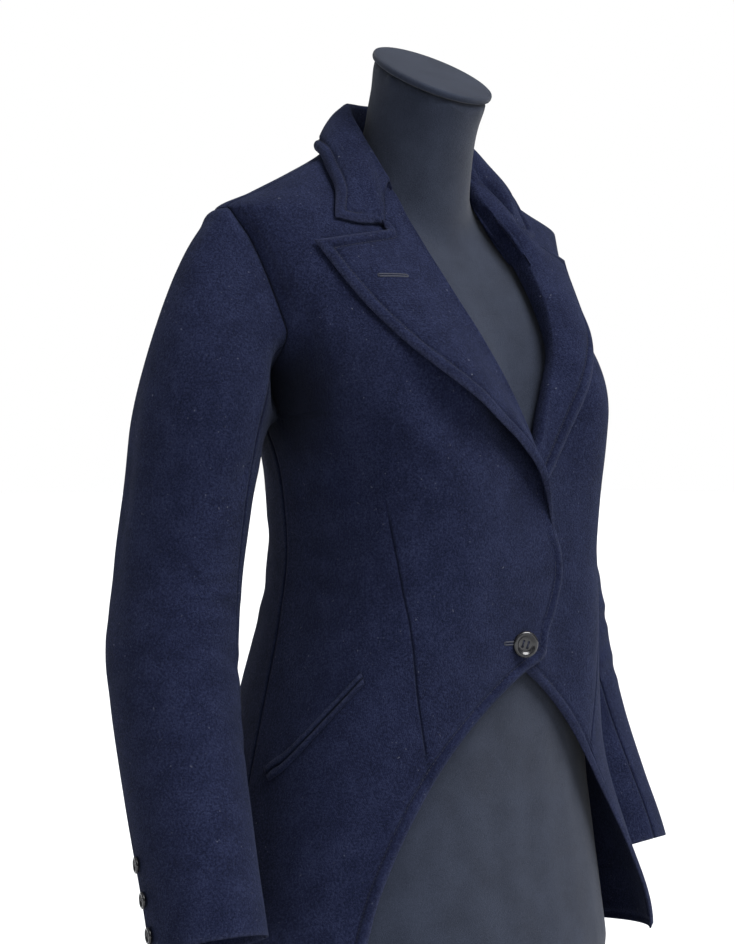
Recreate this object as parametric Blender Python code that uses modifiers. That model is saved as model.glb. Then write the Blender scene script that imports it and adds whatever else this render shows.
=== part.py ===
"""Single-button riding coat of navy wool on a limbless dress form with a pole and a round base.

Metres, +Z up. The coat faces -Y, the wearer's right is -X and the floor is at Z = 0.
Sizes below are in millimetres. Each piece is worked out for the wearer's left and mirrored.
"""
import math

import bpy
import numpy as np
from mathutils import Matrix, Vector

MM = 0.001
LEFT, RIGHT = 1, -1
MERGE = 0.00001
TURN_STEP = 0.004
HALVINGS = 30

# Driving dimensions
WALL = 2.6
SEAM = 0.3
LAY = 0.7
HEM = 685
ARMPIT = 1150
SHOULDER_TIP = 1327
NECK_POINT = 1396
SIDE_SEAM_TURN = math.radians(100)
FORM_FLOOR = 600

# Torso of the coat, outside: a row for each level, from the form's lower edge to the neck.
# height, half width, ridge (y of the side line), depth before it, depth behind it,
# squareness of the front, and the room between cloth and form.
TORSO = (
    (600, 196, 0, 130, 172, 2.4, 20),
    (HEM, 205, 0, 138, 190, 2.4, 18),
    (760, 195, 0, 126, 180, 2.4, 16),
    (850, 178, 0, 116, 165, 2.5, 14),
    (925, 160, 2, 123, 148, 2.7, 13),
    (980, 148, 4, 130, 130, 3.0, 13),
    (1040, 140, 6, 136, 118, 3.1, 14),
    (1100, 145, 9, 138, 114, 2.9, 13),
    (ARMPIT, 158, 14, 131, 113, 2.6, 11),
    (1200, 168, 22, 122, 112, 2.5, 9),
    (1250, 178, 30, 106, 104, 2.4, 6),
    (1300, 189, 38, 80, 88, 2.4, 4.6),
    (SHOULDER_TIP, 197, 42, 63, 70, 2.4, 5.2),
    (1345, 160, 42, 51, 60, 2.4, 3.9),
    (1365, 118, 42, 32, 52, 2.4, 3.9),
    (1385, 80, 42, 21, 43, 2.4, 3.9),
    (1402, 58, 42, 14, 35, 2.4, 3.9),
)
BACK_SQUARENESS = 2.3
SHOULDER_SQUARENESS = 2.4
BUST = {"aside": 98, "height": 1178, "reach_aside": 54, "reach_up": 66, "rise": 32}

# Front edge of a front: height, and how far it lies on its own side of the centre
FRONT_EDGE = (
    (690, 172), (760, 147), (824, 113), (889, 64), (936, 2), (943, -14), (950, -22), (964, -22.5),
    (990, -31), (1017, -36), (1036, -33.5), (1050, -27), (1090, -11), (1140, 6), (1178, 22), (1214, 38),
    (1262, 48), (1300, 51), (1345, 49), (1366, 54), (1385, 57), (NECK_POINT, 62),
)
# Heights of the fronts' rows of points, below and above the armpit
FRONT_ROWS_LOW = (
    690, 725, 760, 795, 830, 862, 892, 916, 936, 943, 950, 965, 990, 1015, 1036, 1062, 1100, 1140,
)
FRONT_ROWS_HIGH = (1170, 1200, 1230, 1262, 1295, 1325, 1348, 1366, 1384, NECK_POINT)
FRONT_COLUMNS = 12
BACK_COLUMNS = 8
COLUMN_CROWDING = 1.25

# Where the left front lies under the right one: how deep, from which x to the centre,
# and between which heights it comes up to lie level
LAP = {"sink": 8.8, "starts": 105, "full": 35, "level_above": 1290, "full_below": 1140}
# The left front's tail swings out: how far, between which heights, and from the side seam to which turn
TAIL = {"out": 20, "starts": 880, "full": 700, "from_turn": 98, "full_turn": 58}
SHOULDER_TURN = math.radians(90)
SHOULDER_GAP = 0.003
BACK_NECK_RISE_STEPS = 6

# Lapels: outer edges as height and distance from the centre, the left one straighter as it rolls more,
# then their top from the roll to the peak
LAPEL_EDGE = (
    (1042, -27), (1056, -22), (1090, -3), (1125, 31), (1154, 69), (1180, 97), (1205, 114), (1235, 128),
    (1268, 141), (1298, 152),
)
LAPEL_EDGE_LEFT = (
    (1042, -27), (1056, -16), (1086, 12), (1121, 35), (1168, 64), (1203, 87), (1228, 107), (1262, 133),
    (1298, 152),
)
LAPEL_TOP = ((1349, 50), (1310, 78), (1298, 152))
LAPEL_NOTCH_COLUMN = 2
LAPEL_LAY = 1.6
LAPEL_ROLL = 1.2
LAPEL_ROLL_FADE = 6
LAPEL_ROLL_START = 4
# The left side opens further and its lapel rolls higher: how far, and between which heights
OPEN_LEFT = {"aside": 11, "starts": 1085, "full": 1140, "fades": 1280, "ends": 1340}
LAPEL_RISE = {"out": 8, "starts": 1130, "full": 1200}
LAPEL_ROWS = 20
LAPEL_COLUMNS = 6

# Collar round the neck, half of it: turn from the front, reach and height of the fold,
# then turn and reach of the outer edge, from the front end to the centre back
COLLAR = (
    (65, 57, 1358, 75, 131),
    (74, 58, 1373, 81, 114),
    (88, 58, 1393, 91, 104),
    (106, 58, 1414, 108, 95),
    (130, 57, 1430, 132, 87),
    (155, 57, 1435, 156, 80),
    (180, 57, 1436, 180, 78),
)
COLLAR_CENTRE_Y = 16
COLLAR_STATIONS = 12
COLLAR_NOTCH_TURN = -9
COLLAR_NOTCH_REACH = -6
COLLAR_NOTCH_STATIONS = 3
# Collar across: the stand's foot and lean, the crown as steps out and up, and the fall's shares
STAND = {"out": 1, "foot": 1.2, "lean": 1.5, "below_fold": 4, "shares": (0, 0.5, 1)}
COLLAR_CROWN = ((1.2, -0.8), (4, 0), (7, -2.2))
COLLAR_FALL_SHARES = (0.25, 0.5, 0.75, 1)
COLLAR_LAY = 2.6

# Arm that the sleeve hangs on: height, x and y of its centre, half widths across and fore-aft
ARM = (
    (720, 257, -8, 45, 53),
    (760, 254, 5, 46, 53),
    (800, 249, 21, 47, 54),
    (860, 242, 44, 49, 56),
    (925, 236, 62, 52, 58),
    (955, 234, 68, 53, 59),
    (1020, 225, 71, 51, 58),
    (1080, 219, 66, 51, 58),
    (1130, 215, 60, 53, 60),
)
ARMHOLE_STEPS = 10
ARMHOLE_TURN_FORE = math.radians(11)
ARMHOLE_TURN_AFT = math.radians(36)
ARMHOLE_BOW = 0.85
SLEEVE_LEVELS = 10
SLEEVE_HEAD_LEVELS = 5
CUFF_HEIGHT = {LEFT: 744, RIGHT: 722}
CUFF_TWIST = {LEFT: math.radians(-15), RIGHT: math.radians(40)}
# Columns of the sleeve's rings where its fore and hind seams run, and each side's share of the seam gap
FORE_SEAM, HIND_SEAM = 6, 16
SLEEVE_SEAM_SHARE = 0.8
# Sleeve head: the way it leaves the armhole, and its pull there and at the arm below,
# at the armpit and the extra at the shoulder tip
SLEEVE_LEAVE = (0.87, 0, -0.49)
SLEEVE_PULL = {"leave": 0.12, "arrive": 0.3, "extra": 0.1}

# Buttons: radius, height, how far the turned profile is divided, and where they sit
FRONT_BUTTON = {"radius": 11.5, "height": 4.2, "steps": 20}
FRONT_BUTTON_ASIDE, FRONT_BUTTON_LEVEL = 9, 960
CUFF_BUTTON = {"radius": 7, "height": 3, "steps": 12}
CUFF_BUTTON_RISES = (14, 41, 68)
CUFF_BUTTON_BEHIND_SEAM = math.radians(10)
# Profile from the centre of the face to the centre of the back, as shares of radius and height
BUTTON_PROFILE = ((0, 0.6), (0.68, 0.6), (0.78, 1), (0.9, 1), (1, 0.66), (0.96, 0.14), (0.8, 0), (0, 0))
THREAD_HOLE = {"radius": 0.12, "aside": 0.22, "corners": 6}

# Slanted pocket: turn and height of its upper and lower ends
POCKET_ENDS = ((62, 936), (93, 852))
# Lips: width, height of the crown and of the edges over the front, steps along and across,
# and how a millimetre of width runs round (radians) and up
POCKET_LIP = {"width": 6, "crown": 2, "edge": 1.6, "along": 7, "round": 0.00367, "up": 0.83}

# Neck of the form: height of the ring's centre, its y, radius and forward tilt in degrees
NECK = (
    (1290, 32, 54, 0),
    (1350, 21, 53, 12),
    (1400, 10, 49, 20),
    (1430, 2, 48, 26),
    (1452, -5, 51, 30),
)
NECK_TILT = math.radians(30)
FORM_SIDES = 32
FORM_ROWS = (
    FORM_FLOOR, HEM, 760, 830, 890, 940, 985, 1035, 1085, 1125, 1160, 1195, 1230, 1265, 1297, 1318,
    SHOULDER_TIP, 1336, 1350, 1368, 1390,
)
CAP = {"radius": 56, "height": 6, "sides": 32, "edge": 1.5}
BASE = {"radius": 170, "height": 18, "sides": 36, "edge": 4}
POLE = {"radius": 15, "sides": 24}

NAVY = (0.018, 0.024, 0.062, 1)
CHARCOAL = (0.03, 0.036, 0.058, 1)
BLACK = (0.008, 0.008, 0.01, 1)
IRON = (0.02, 0.02, 0.022, 1)


def smooth_table(rows, key, value):
    """A curve through one column of a table that never overshoots its rows."""
    xs = np.array([row[key] for row in rows], float)
    ys = np.array([row[value] for row in rows], float)
    steps = np.diff(xs)
    slopes = np.diff(ys) / steps
    tangents = np.zeros(len(xs))
    tangents[0], tangents[-1] = slopes[0], slopes[-1]
    for i in range(1, len(xs) - 1):
        if slopes[i - 1] * slopes[i] > 0:
            near, far = 2 * steps[i] + steps[i - 1], steps[i] + 2 * steps[i - 1]
            tangents[i] = (near + far) / (near / slopes[i - 1] + far / slopes[i])

    def read(x):
        x = min(max(x, xs[0]), xs[-1])
        i = min(max(int(np.searchsorted(xs, x)) - 1, 0), len(xs) - 2)
        t = (x - xs[i]) / steps[i]
        return ((1 + 2 * t) * (1 - t) ** 2 * ys[i] + t * (1 - t) ** 2 * steps[i] * tangents[i]
                + t * t * (3 - 2 * t) * ys[i + 1] + t * t * (t - 1) * steps[i] * tangents[i + 1])
    return read


half_width, ridge, front_depth, back_depth, squareness, room = [
    smooth_table(TORSO, 0, column) for column in range(1, 7)]
front_edge = smooth_table(FRONT_EDGE, 0, 1)
lapel_edge = {RIGHT: smooth_table(LAPEL_EDGE, 0, 1), LEFT: smooth_table(LAPEL_EDGE_LEFT, 0, 1)}
arm_x, arm_y, arm_across, arm_fore = [smooth_table(ARM, 0, column) for column in range(1, 5)]


def open_shift(height, side):
    """How much further from the centre the left side's roll lies."""
    if side == RIGHT:
        return 0.0
    rising = ease_step(height, OPEN_LEFT["starts"], OPEN_LEFT["full"])
    return OPEN_LEFT["aside"] * rising * ease_step(height, OPEN_LEFT["ends"], OPEN_LEFT["fades"])


def ease_step(value, start, end):
    t = min(max((value - start) / (end - start), 0), 1)
    return t * t * (3 - 2 * t)


def bare_torso(turn, height):
    """Point of the coat's outer face: turn 0 is the centre front, 90 degrees the left side."""
    s, c = math.sin(turn), math.cos(turn)
    power = 2 / (squareness(height) if c >= 0 else BACK_SQUARENESS)
    x = half_width(height) * math.copysign(abs(s) ** power, s)
    if c < 0:
        return np.array([x, ridge(height) + back_depth(height) * (-c) ** power, height])
    across = (abs(x) - BUST["aside"]) / BUST["reach_aside"]
    up = (height - BUST["height"]) / BUST["reach_up"]
    rise = BUST["rise"] * math.sqrt(c) * math.exp(-across ** 2 - up ** 2)
    return np.array([x, ridge(height) - front_depth(height) * c ** power - rise, height])


def torso(turn, height, out=0.0):
    """The same point moved out along the face's normal."""
    point = bare_torso(turn, height)
    if out == 0:
        return point
    along = bare_torso(turn + TURN_STEP, height) - bare_torso(turn - TURN_STEP, height)
    rise = bare_torso(turn, height + 1) - bare_torso(turn, height - 1)
    normal = np.cross(along, rise)
    return point + out * normal / np.linalg.norm(normal)


def turn_at(aside, height):
    """Turn of the front point that lies so far to the side of the centre."""
    share = min(abs(aside) / half_width(height), 1)
    return math.copysign(math.asin(share ** (squareness(height) / 2)), aside)


def torso_top(x, y):
    """Height of the shoulder slope above a point of the floor plan."""
    low, high = ARMPIT, TORSO[-1][0]
    for _ in range(HALVINGS):
        mid = (low + high) / 2
        depth = front_depth(mid) if y < ridge(mid) else back_depth(mid)
        across, fore = abs(x / half_width(mid)), abs((y - ridge(mid)) / depth)
        inside = across ** SHOULDER_SQUARENESS + fore ** SHOULDER_SQUARENESS < 1
        low, high = (mid, high) if inside else (low, mid)
    return low


def lap_shift(turn, height, side):
    """How the left front departs from the right one: it sinks where they lap and swings out at its tail."""
    if side == RIGHT:
        return 0.0
    aside = bare_torso(turn, height)[0]
    near = ease_step(aside, LAP["starts"], LAP["full"])
    sink = LAP["sink"] * near * ease_step(height, LAP["level_above"], LAP["full_below"])
    swing = ease_step(math.degrees(turn), TAIL["from_turn"], TAIL["full_turn"])
    return TAIL["out"] * swing * ease_step(height, TAIL["starts"], TAIL["full"]) - sink


def armhole(angle):
    """Turn and height of the armhole: angle 0 at the shoulder tip, 90 degrees before the arm."""
    middle, half = (SHOULDER_TIP + ARMPIT) / 2, (SHOULDER_TIP - ARMPIT) / 2
    s = math.sin(angle)
    swing = ARMHOLE_TURN_FORE if s > 0 else ARMHOLE_TURN_AFT
    bow = math.copysign(abs(s) ** ARMHOLE_BOW, s)
    return SHOULDER_TURN - swing * bow, middle + half * math.cos(angle)


def crowd(share):
    """Columns lie closer together near the front edge, where the shape turns fastest."""
    return share ** COLUMN_CROWDING


def patch(left, right, top):
    """Turns and heights of a panel: rows run up, columns from the left edge to the right one."""
    rows, columns = len(left), len(top)
    grid = np.zeros((rows, columns, 2))
    left, right, top = np.array(left), np.array(right), np.array(top)
    for i in range(rows):
        v = i / (rows - 1)
        for j in range(columns):
            u = crowd(j / (columns - 1))
            level = (1 - u) * left[i] + u * right[i]
            crown = top[j] - ((1 - u) * top[0] + u * top[-1])
            grid[i, j] = level + v ** 3 * crown
    return grid


def new_material(name, colour, roughness, metallic=0.0):
    material = bpy.data.materials.new(name)
    material.use_nodes = True
    shader = material.node_tree.nodes["Principled BSDF"]
    shader.inputs["Base Color"].default_value = colour
    shader.inputs["Roughness"].default_value = roughness
    shader.inputs["Metallic"].default_value = metallic
    return material


def finish(obj, material, collection):
    for owner in obj.users_collection:
        owner.objects.unlink(obj)
    collection.objects.link(obj)
    obj.data.materials.append(material)
    for polygon in obj.data.polygons:
        polygon.use_smooth = True
    return obj


def mesh_object(name, points, faces, material, collection):
    mesh = bpy.data.meshes.new(name)
    mesh.from_pydata([tuple(np.array(point) * MM) for point in points], [], faces)
    return finish(bpy.data.objects.new(name, mesh), material, collection)


def sheet(name, outer, inner, side, material, collection):
    """Cloth wall lofted between two grids of points, its outer face and its inner face."""
    rows, columns = outer.shape[:2]
    layer = rows * columns
    points = np.concatenate([outer.reshape(-1, 3), inner.reshape(-1, 3)]) * (side, 1, 1)
    faces = []
    for i in range(rows - 1):
        for j in range(columns - 1):
            a = i * columns + j
            b, c, d = a + 1, a + columns + 1, a + columns
            faces.append((a, b, c, d))
            faces.append((d + layer, c + layer, b + layer, a + layer))
    rim = list(range(columns)) + [i * columns + columns - 1 for i in range(1, rows)]
    rim += [layer - 1 - j for j in range(1, columns)] + [i * columns for i in range(rows - 2, 0, -1)]
    for a, b in zip(rim, rim[1:] + rim[:1]):
        faces.append((b, a, a + layer, b + layer))
    a, b, c = outer[0, 0], outer[0, 1], outer[1, 0]
    if np.dot(np.cross(b - a, c - a), inner[0, 0] - a) * side > 0:
        faces = [face[::-1] for face in faces]
    return mesh_object(name, points, faces, material, collection)


def grid_normals(grid, around=False):
    """Unit normals of a grid of points, as the cross product of its two directions."""
    if around:
        wide = np.concatenate([grid[:, -1:], grid, grid[:, :1]], axis=1)
        across = (wide[:, 2:] - wide[:, :-2])
    else:
        across = np.gradient(grid, axis=1)
    normals = np.cross(across, np.gradient(grid, axis=0))
    return normals / np.linalg.norm(normals, axis=2, keepdims=True)


def lofted_solid(name, rings, material, collection):
    """Closed body through rings of equal count, listed from the bottom up."""
    count = len(rings[0])
    points = [point for ring in rings for point in ring]
    faces = []
    for low in range(0, len(points) - count, count):
        for i in range(count):
            after = (i + 1) % count
            faces.append((low + i, low + after, low + count + after, low + count + i))
    faces.append(tuple(reversed(range(count))))
    faces.append(tuple(range(len(points) - count, len(points))))
    return mesh_object(name, points, faces, material, collection)


def side_name(side):
    return "left" if side == LEFT else "right"


def seam_turn(height):
    return 0.5 * SEAM / back_depth(height)


def low_heights(first, last):
    """Heights of a long seam that match the fronts' lower rows one by one."""
    start, end = FRONT_ROWS_LOW[0], FRONT_ROWS_LOW[-1]
    return [first + (z - start) * (last - first) / (end - start) for z in FRONT_ROWS_LOW]


def armhole_edge(sign):
    """The armhole from the armpit up to the shoulder tip, before (1) or behind (-1) the arm."""
    return [armhole(sign * math.pi * (1 - k / ARMHOLE_STEPS)) for k in range(1, ARMHOLE_STEPS + 1)]


def shoulder_seam(turn, columns):
    drop = SHOULDER_TIP - NECK_POINT
    return [(turn, NECK_POINT + drop * crowd(j / columns)) for j in range(columns + 1)]


def make_front(side, cloth, collection):
    shoulder = SHOULDER_TURN - SHOULDER_GAP
    heights = FRONT_ROWS_LOW + FRONT_ROWS_HIGH
    left = [(turn_at(front_edge(z) + open_shift(z, side), z), z) for z in heights[:-1]]
    left.append((shoulder, NECK_POINT))
    right = [(SIDE_SEAM_TURN - seam_turn(z), z) for z in low_heights(HEM, ARMPIT)]
    right += [(min(turn - SHOULDER_GAP, shoulder), z) for turn, z in armhole_edge(1)]
    grid = patch(left, right, shoulder_seam(shoulder, FRONT_COLUMNS))
    faces = [np.array([[front_point(turn, z, side, out) for turn, z in row] for row in grid])
             for out in (0, -WALL)]
    sheet("front_" + side_name(side), *faces, side, cloth, collection)


def front_point(turn, height, side, out=0.0):
    return torso(turn, height, lap_shift(turn, height, side) + out)


def make_back(side, cloth, collection):
    shoulder, centre, rise = SHOULDER_TURN + SHOULDER_GAP, math.pi, BACK_NECK_RISE_STEPS
    left = [(centre - seam_turn(z), z) for z in low_heights(HEM, ARMPIT)]
    for k in range(1, ARMHOLE_STEPS + 1):
        if k <= rise:
            z = ARMPIT + (NECK_POINT - ARMPIT) * k / rise
            left.append((centre - seam_turn(z), z))
        else:
            along = (k - rise) / (ARMHOLE_STEPS - rise)
            left.append((centre + (shoulder - centre) * along, NECK_POINT))
    right = [(SIDE_SEAM_TURN + seam_turn(z), z) for z in low_heights(HEM, ARMPIT)]
    right += [(max(turn, shoulder), z) for turn, z in armhole_edge(-1)]
    grid = patch(left, right, shoulder_seam(shoulder, BACK_COLUMNS))
    faces = [np.array([[torso(turn, z, out) for turn, z in row] for row in grid]) for out in (0, -WALL)]
    sheet("back_" + side_name(side), *faces, side, cloth, collection)


def lapel_grid(rows, columns, side):
    """Turns, heights and shares across a lapel, from its roll line to its outer edge."""
    roll_low, roll_high = LAPEL_EDGE[0][0] - LAPEL_ROLL_START, LAPEL_TOP[0][0]
    edge_low, edge_high = LAPEL_EDGE[0][0], LAPEL_EDGE[-1][0]
    left, right = [], []
    for i in range(rows + 1):
        v = i / rows
        z = roll_low + (roll_high - roll_low) * v
        left.append((turn_at(front_edge(z) + open_shift(z, side), z), z))
        z = edge_low + (edge_high - edge_low) * v
        right.append((turn_at(lapel_edge[side](z), z), z))
    top = []
    for j in range(columns + 1):
        u = crowd(j / columns)
        notch = crowd(LAPEL_NOTCH_COLUMN / LAPEL_COLUMNS)
        start, end = LAPEL_TOP[:2] if j <= LAPEL_NOTCH_COLUMN else LAPEL_TOP[1:]
        t = u / notch if j <= LAPEL_NOTCH_COLUMN else (u - notch) / (1 - notch)
        z = start[0] + (end[0] - start[0]) * t
        top.append((turn_at(start[1] + (end[1] - start[1]) * t, z), z))
    return patch(left, right, top)


def make_lapel(side, cloth, collection):
    grid = lapel_grid(LAPEL_ROWS, LAPEL_COLUMNS, side)
    shares = [j / LAPEL_COLUMNS for j in range(LAPEL_COLUMNS + 1)]

    def lay(share, height):
        """How high the lapel lies over the front: a tight roll at its fold, and the left one's soft rise."""
        roll = LAPEL_ROLL * math.exp(-LAPEL_ROLL_FADE * share)
        rise = 4 * share * (1 - share) * ease_step(height, LAPEL_RISE["starts"], LAPEL_RISE["full"])
        return LAPEL_LAY + roll + (LAPEL_RISE["out"] * rise if side == LEFT else 0)
    faces = [np.array([[front_point(turn, z, side, lay(share, z) + out)
                        for (turn, z), share in zip(row, shares)] for row in grid]) for out in (WALL, 0)]
    sheet("lapel_" + side_name(side), *faces, side, cloth, collection)


def collar_station(share):
    """Points across the collar, from the foot of its stand over the fold to the outer edge."""
    fold_turn, fold_reach, fold_height, edge_turn, edge_reach = [
        smooth_table([(k / (len(COLLAR) - 1),) + row for k, row in enumerate(COLLAR)], 0, column)(share)
        for column in range(1, 6)]
    notch = max(0, 1 - share * COLLAR_STATIONS / COLLAR_NOTCH_STATIONS) ** 2

    def plan(turn, reach):
        angle = math.radians(turn)
        return reach * math.sin(angle), COLLAR_CENTRE_Y - reach * math.cos(angle)
    stand_reach = fold_reach + STAND["out"]
    foot = torso_top(*plan(fold_turn, stand_reach)) + STAND["foot"]
    climb = fold_height - STAND["below_fold"] - foot
    stand = [np.array([*plan(fold_turn, stand_reach - STAND["lean"] * t), foot + climb * t])
             for t in STAND["shares"]]
    crown = [np.array([*plan(fold_turn, fold_reach + out), fold_height + rise]) for out, rise in COLLAR_CROWN]
    fall_start = fold_reach + COLLAR_CROWN[-1][0]
    fall = []
    for t in COLLAR_FALL_SHARES:
        reach = fall_start + (edge_reach - fall_start) * t
        turn = fold_turn + (edge_turn - fold_turn) * t
        bend = notch * (1 - abs(2 * t - 1))
        turn += COLLAR_NOTCH_TURN * bend
        reach += COLLAR_NOTCH_REACH * bend
        x, y = plan(turn, reach)
        ground = torso_top(x, y)
        nearer = torso_top(*plan(turn, reach - 1))
        lift = (WALL + COLLAR_LAY) * math.hypot(1, nearer - ground)
        hang = crown[-1][2] + (ground + lift - crown[-1][2]) * min(1, t * (1 + notch))
        fall.append(np.array([x, y, max(hang, ground + lift)]))
    return stand + crown + fall


def make_collar(cloth, collection):
    half = [collar_station(k / COLLAR_STATIONS) for k in range(COLLAR_STATIONS + 1)]
    mirrored = [[point * (-1, 1, 1) for point in row] for row in half[-2::-1]]
    outer = np.array(half + mirrored)
    inner = outer - WALL * grid_normals(outer)
    sheet("collar", outer, inner, LEFT, cloth, collection)


def arm_axis(height):
    return np.array([arm_x(height), arm_y(height), height])


def sleeve_point(angle, height, side, out=0.0):
    """Point of a sleeve below the armpit: angle 0 is the outer side, 90 degrees the front."""
    top, cuff = ARM[-1][0], CUFF_HEIGHT[side]
    angle += CUFF_TWIST[side] * ease_step(height, top, cuff)
    along = arm_axis(height + 2) - arm_axis(height - 2)
    along /= np.linalg.norm(along)
    across = np.array([1.0, 0, 0]) - along[0] * along
    across /= np.linalg.norm(across)
    fore = np.cross(across, along)
    fore *= -math.copysign(1, fore[1])
    return (arm_axis(height) + across * (arm_across(height) + out) * math.cos(angle)
            + fore * (arm_fore(height) + out) * math.sin(angle))


def sleeve_grid(side):
    """Points of the whole sleeve: a row for each ring from the armhole down to the cuff."""
    count = 2 * ARMHOLE_STEPS
    top, cuff = ARM[-1][0], CUFF_HEIGHT[side]
    heights = [top + (cuff - top) * k / SLEEVE_LEVELS for k in range(SLEEVE_LEVELS + 1)]
    rings = [[] for _ in range(SLEEVE_HEAD_LEVELS + len(heights))]
    for k in range(count + 1):
        angle = 2 * math.pi * k / count
        start = torso(*armhole(angle if angle <= math.pi else angle - 2 * math.pi)) + (2 * SEAM, 0, 0)
        end = sleeve_point(angle, top, side)
        below = end - sleeve_point(angle, heights[1], side)
        below /= np.linalg.norm(below)
        reach = np.linalg.norm(end - start)
        extra = SLEEVE_PULL["extra"] * (1 + math.cos(angle)) / 2
        first = start + np.array(SLEEVE_LEAVE) * reach * (SLEEVE_PULL["leave"] + extra)
        second = end + below * reach * (SLEEVE_PULL["arrive"] + extra)
        for level in range(SLEEVE_HEAD_LEVELS):
            t = level / SLEEVE_HEAD_LEVELS
            rings[level].append((1 - t) ** 3 * start + 3 * t * (1 - t) ** 2 * first
                                + 3 * t * t * (1 - t) * second + t ** 3 * end)
        for level, height in enumerate(heights):
            rings[SLEEVE_HEAD_LEVELS + level].append(sleeve_point(angle, height, side))
    return np.array(rings)


def make_sleeve(side, cloth, collection):
    outer = sleeve_grid(side)[:, :-1]
    inner = outer - WALL * grid_normals(outer, around=True)
    count = outer.shape[1]
    upper = [k % count for k in range(HIND_SEAM, count + FORE_SEAM + 1)]
    under = list(range(FORE_SEAM, HIND_SEAM + 1))
    for name, picks in (("sleeve_top_", upper), ("sleeve_under_", under)):
        faces = [grid[:, picks].copy() for grid in (outer, inner)]
        for grid in faces:
            for edge, next_in in ((0, 1), (-1, -2)):
                toward = grid[:, next_in] - grid[:, edge]
                toward /= np.linalg.norm(toward, axis=1, keepdims=True)
                grid[:, edge] += toward * SEAM * SLEEVE_SEAM_SHARE
        sheet(name + side_name(side), *faces, side, cloth, collection)


def turned_button(name, size, place, normal, material, collection):
    """Turned button with a raised rim and a dished face."""
    profile = [(x * size["radius"] * MM, 0, z * size["height"] * MM) for x, z in BUTTON_PROFILE]
    mesh = bpy.data.meshes.new(name)
    mesh.from_pydata(profile, [(i, i + 1) for i in range(len(profile) - 1)], [])
    obj = finish(bpy.data.objects.new(name, mesh), material, collection)
    turn = obj.modifiers.new("turn", "SCREW")
    turn.steps = turn.render_steps = size["steps"]
    turn.use_merge_vertices = True
    turn.merge_threshold = MERGE
    rotation = Vector((0, 0, 1)).rotation_difference(Vector(normal)).to_matrix().to_4x4()
    obj.matrix_world = Matrix.Translation(Vector(place) * MM) @ rotation
    return obj


def cut_thread_holes(button, size, cutters):
    radius, aside = [size["radius"] * THREAD_HOLE[key] * MM for key in ("radius", "aside")]
    for dx, dy in ((1, 1), (1, -1), (-1, 1), (-1, -1)):
        bpy.ops.mesh.primitive_cylinder_add(vertices=THREAD_HOLE["corners"], radius=radius,
                                            depth=4 * size["height"] * MM)
        hole = bpy.context.object
        hole.matrix_world = button.matrix_world @ Matrix.Translation((dx * aside, dy * aside, 0))
        for owner in hole.users_collection:
            owner.objects.unlink(hole)
        cutters.objects.link(hole)
        hole.hide_render = True
        hole.display_type = "WIRE"
        cut = button.modifiers.new("thread_hole", "BOOLEAN")
        cut.operation = "DIFFERENCE"
        cut.object = hole


def unit(vector):
    return np.array(vector) / np.linalg.norm(vector)


def make_buttons(material, collection, cutters):
    spot = (turn_at(FRONT_BUTTON_ASIDE, FRONT_BUTTON_LEVEL), FRONT_BUTTON_LEVEL, RIGHT)
    seat = front_point(*spot, SEAM)
    normal = unit(front_point(*spot, 1) - front_point(*spot))
    button = turned_button("front_button", FRONT_BUTTON, seat * (-1, 1, 1), normal * (-1, 1, 1),
                           material, collection)
    cut_thread_holes(button, FRONT_BUTTON, cutters)
    for side in (LEFT, RIGHT):
        for k, rise in enumerate(CUFF_BUTTON_RISES):
            angle = math.pi * HIND_SEAM / ARMHOLE_STEPS + CUFF_BUTTON_BEHIND_SEAM
            spot = (angle, CUFF_HEIGHT[side] + rise, side)
            seat = sleeve_point(*spot, SEAM)
            normal = unit(sleeve_point(*spot, 1) - sleeve_point(*spot))
            name = "cuff_button_%s_%d" % (side_name(side), k + 1)
            turned_button(name, CUFF_BUTTON, seat * (side, 1, 1), normal * (side, 1, 1),
                          material, collection)


def make_pocket(side, cloth, collection):
    """Two lips of a slanted jetted pocket, laid on the front."""
    steps = POCKET_LIP["along"]
    heights = (POCKET_LIP["edge"], POCKET_LIP["crown"], POCKET_LIP["edge"])
    (turn_a, z_a), (turn_b, z_b) = POCKET_ENDS
    for name, sign in (("upper", 1), ("lower", -1)):
        faces = np.zeros((2, steps + 1, len(heights), 3))
        for i in range(steps + 1):
            t = i / steps
            turn, z = math.radians(turn_a + (turn_b - turn_a) * t), z_a + (z_b - z_a) * t
            for j, height in enumerate(heights):
                shift = sign * (SEAM / 2 + POCKET_LIP["width"] * j / (len(heights) - 1))
                place = (turn + POCKET_LIP["round"] * shift, z + POCKET_LIP["up"] * shift, side)
                faces[0, i, j] = front_point(*place, LAY + height)
                faces[1, i, j] = front_point(*place, LAY)
        sheet("pocket_lip_%s_%s" % (name, side_name(side)), *faces, side, cloth, collection)


def make_form(cover, collection, cutters):
    """Hollow of the coat filled by the form: torso, and a neck that leans forward."""
    count = FORM_SIDES
    rings = [[torso(2 * math.pi * i / count, z, -WALL - room(z)) for i in range(count)] for z in FORM_ROWS]
    for point in rings[0]:
        point[2] = FORM_FLOOR
    form = lofted_solid("dress_form", rings, cover, collection)
    neck_rings = []
    for z, y, radius, tilt in NECK:
        lean = math.tan(math.radians(tilt))
        ring = []
        for i in range(count):
            angle = 2 * math.pi * i / count
            dx, dy = radius * math.sin(angle), -radius * math.cos(angle)
            ring.append((dx, y + dy, z + lean * dy))
        neck_rings.append(ring)
    neck = lofted_solid("neck_shape", neck_rings, cover, cutters)
    neck.hide_render = True
    neck.display_type = "WIRE"
    join = form.modifiers.new("neck", "BOOLEAN")
    join.operation = "UNION"
    join.object = neck


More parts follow.
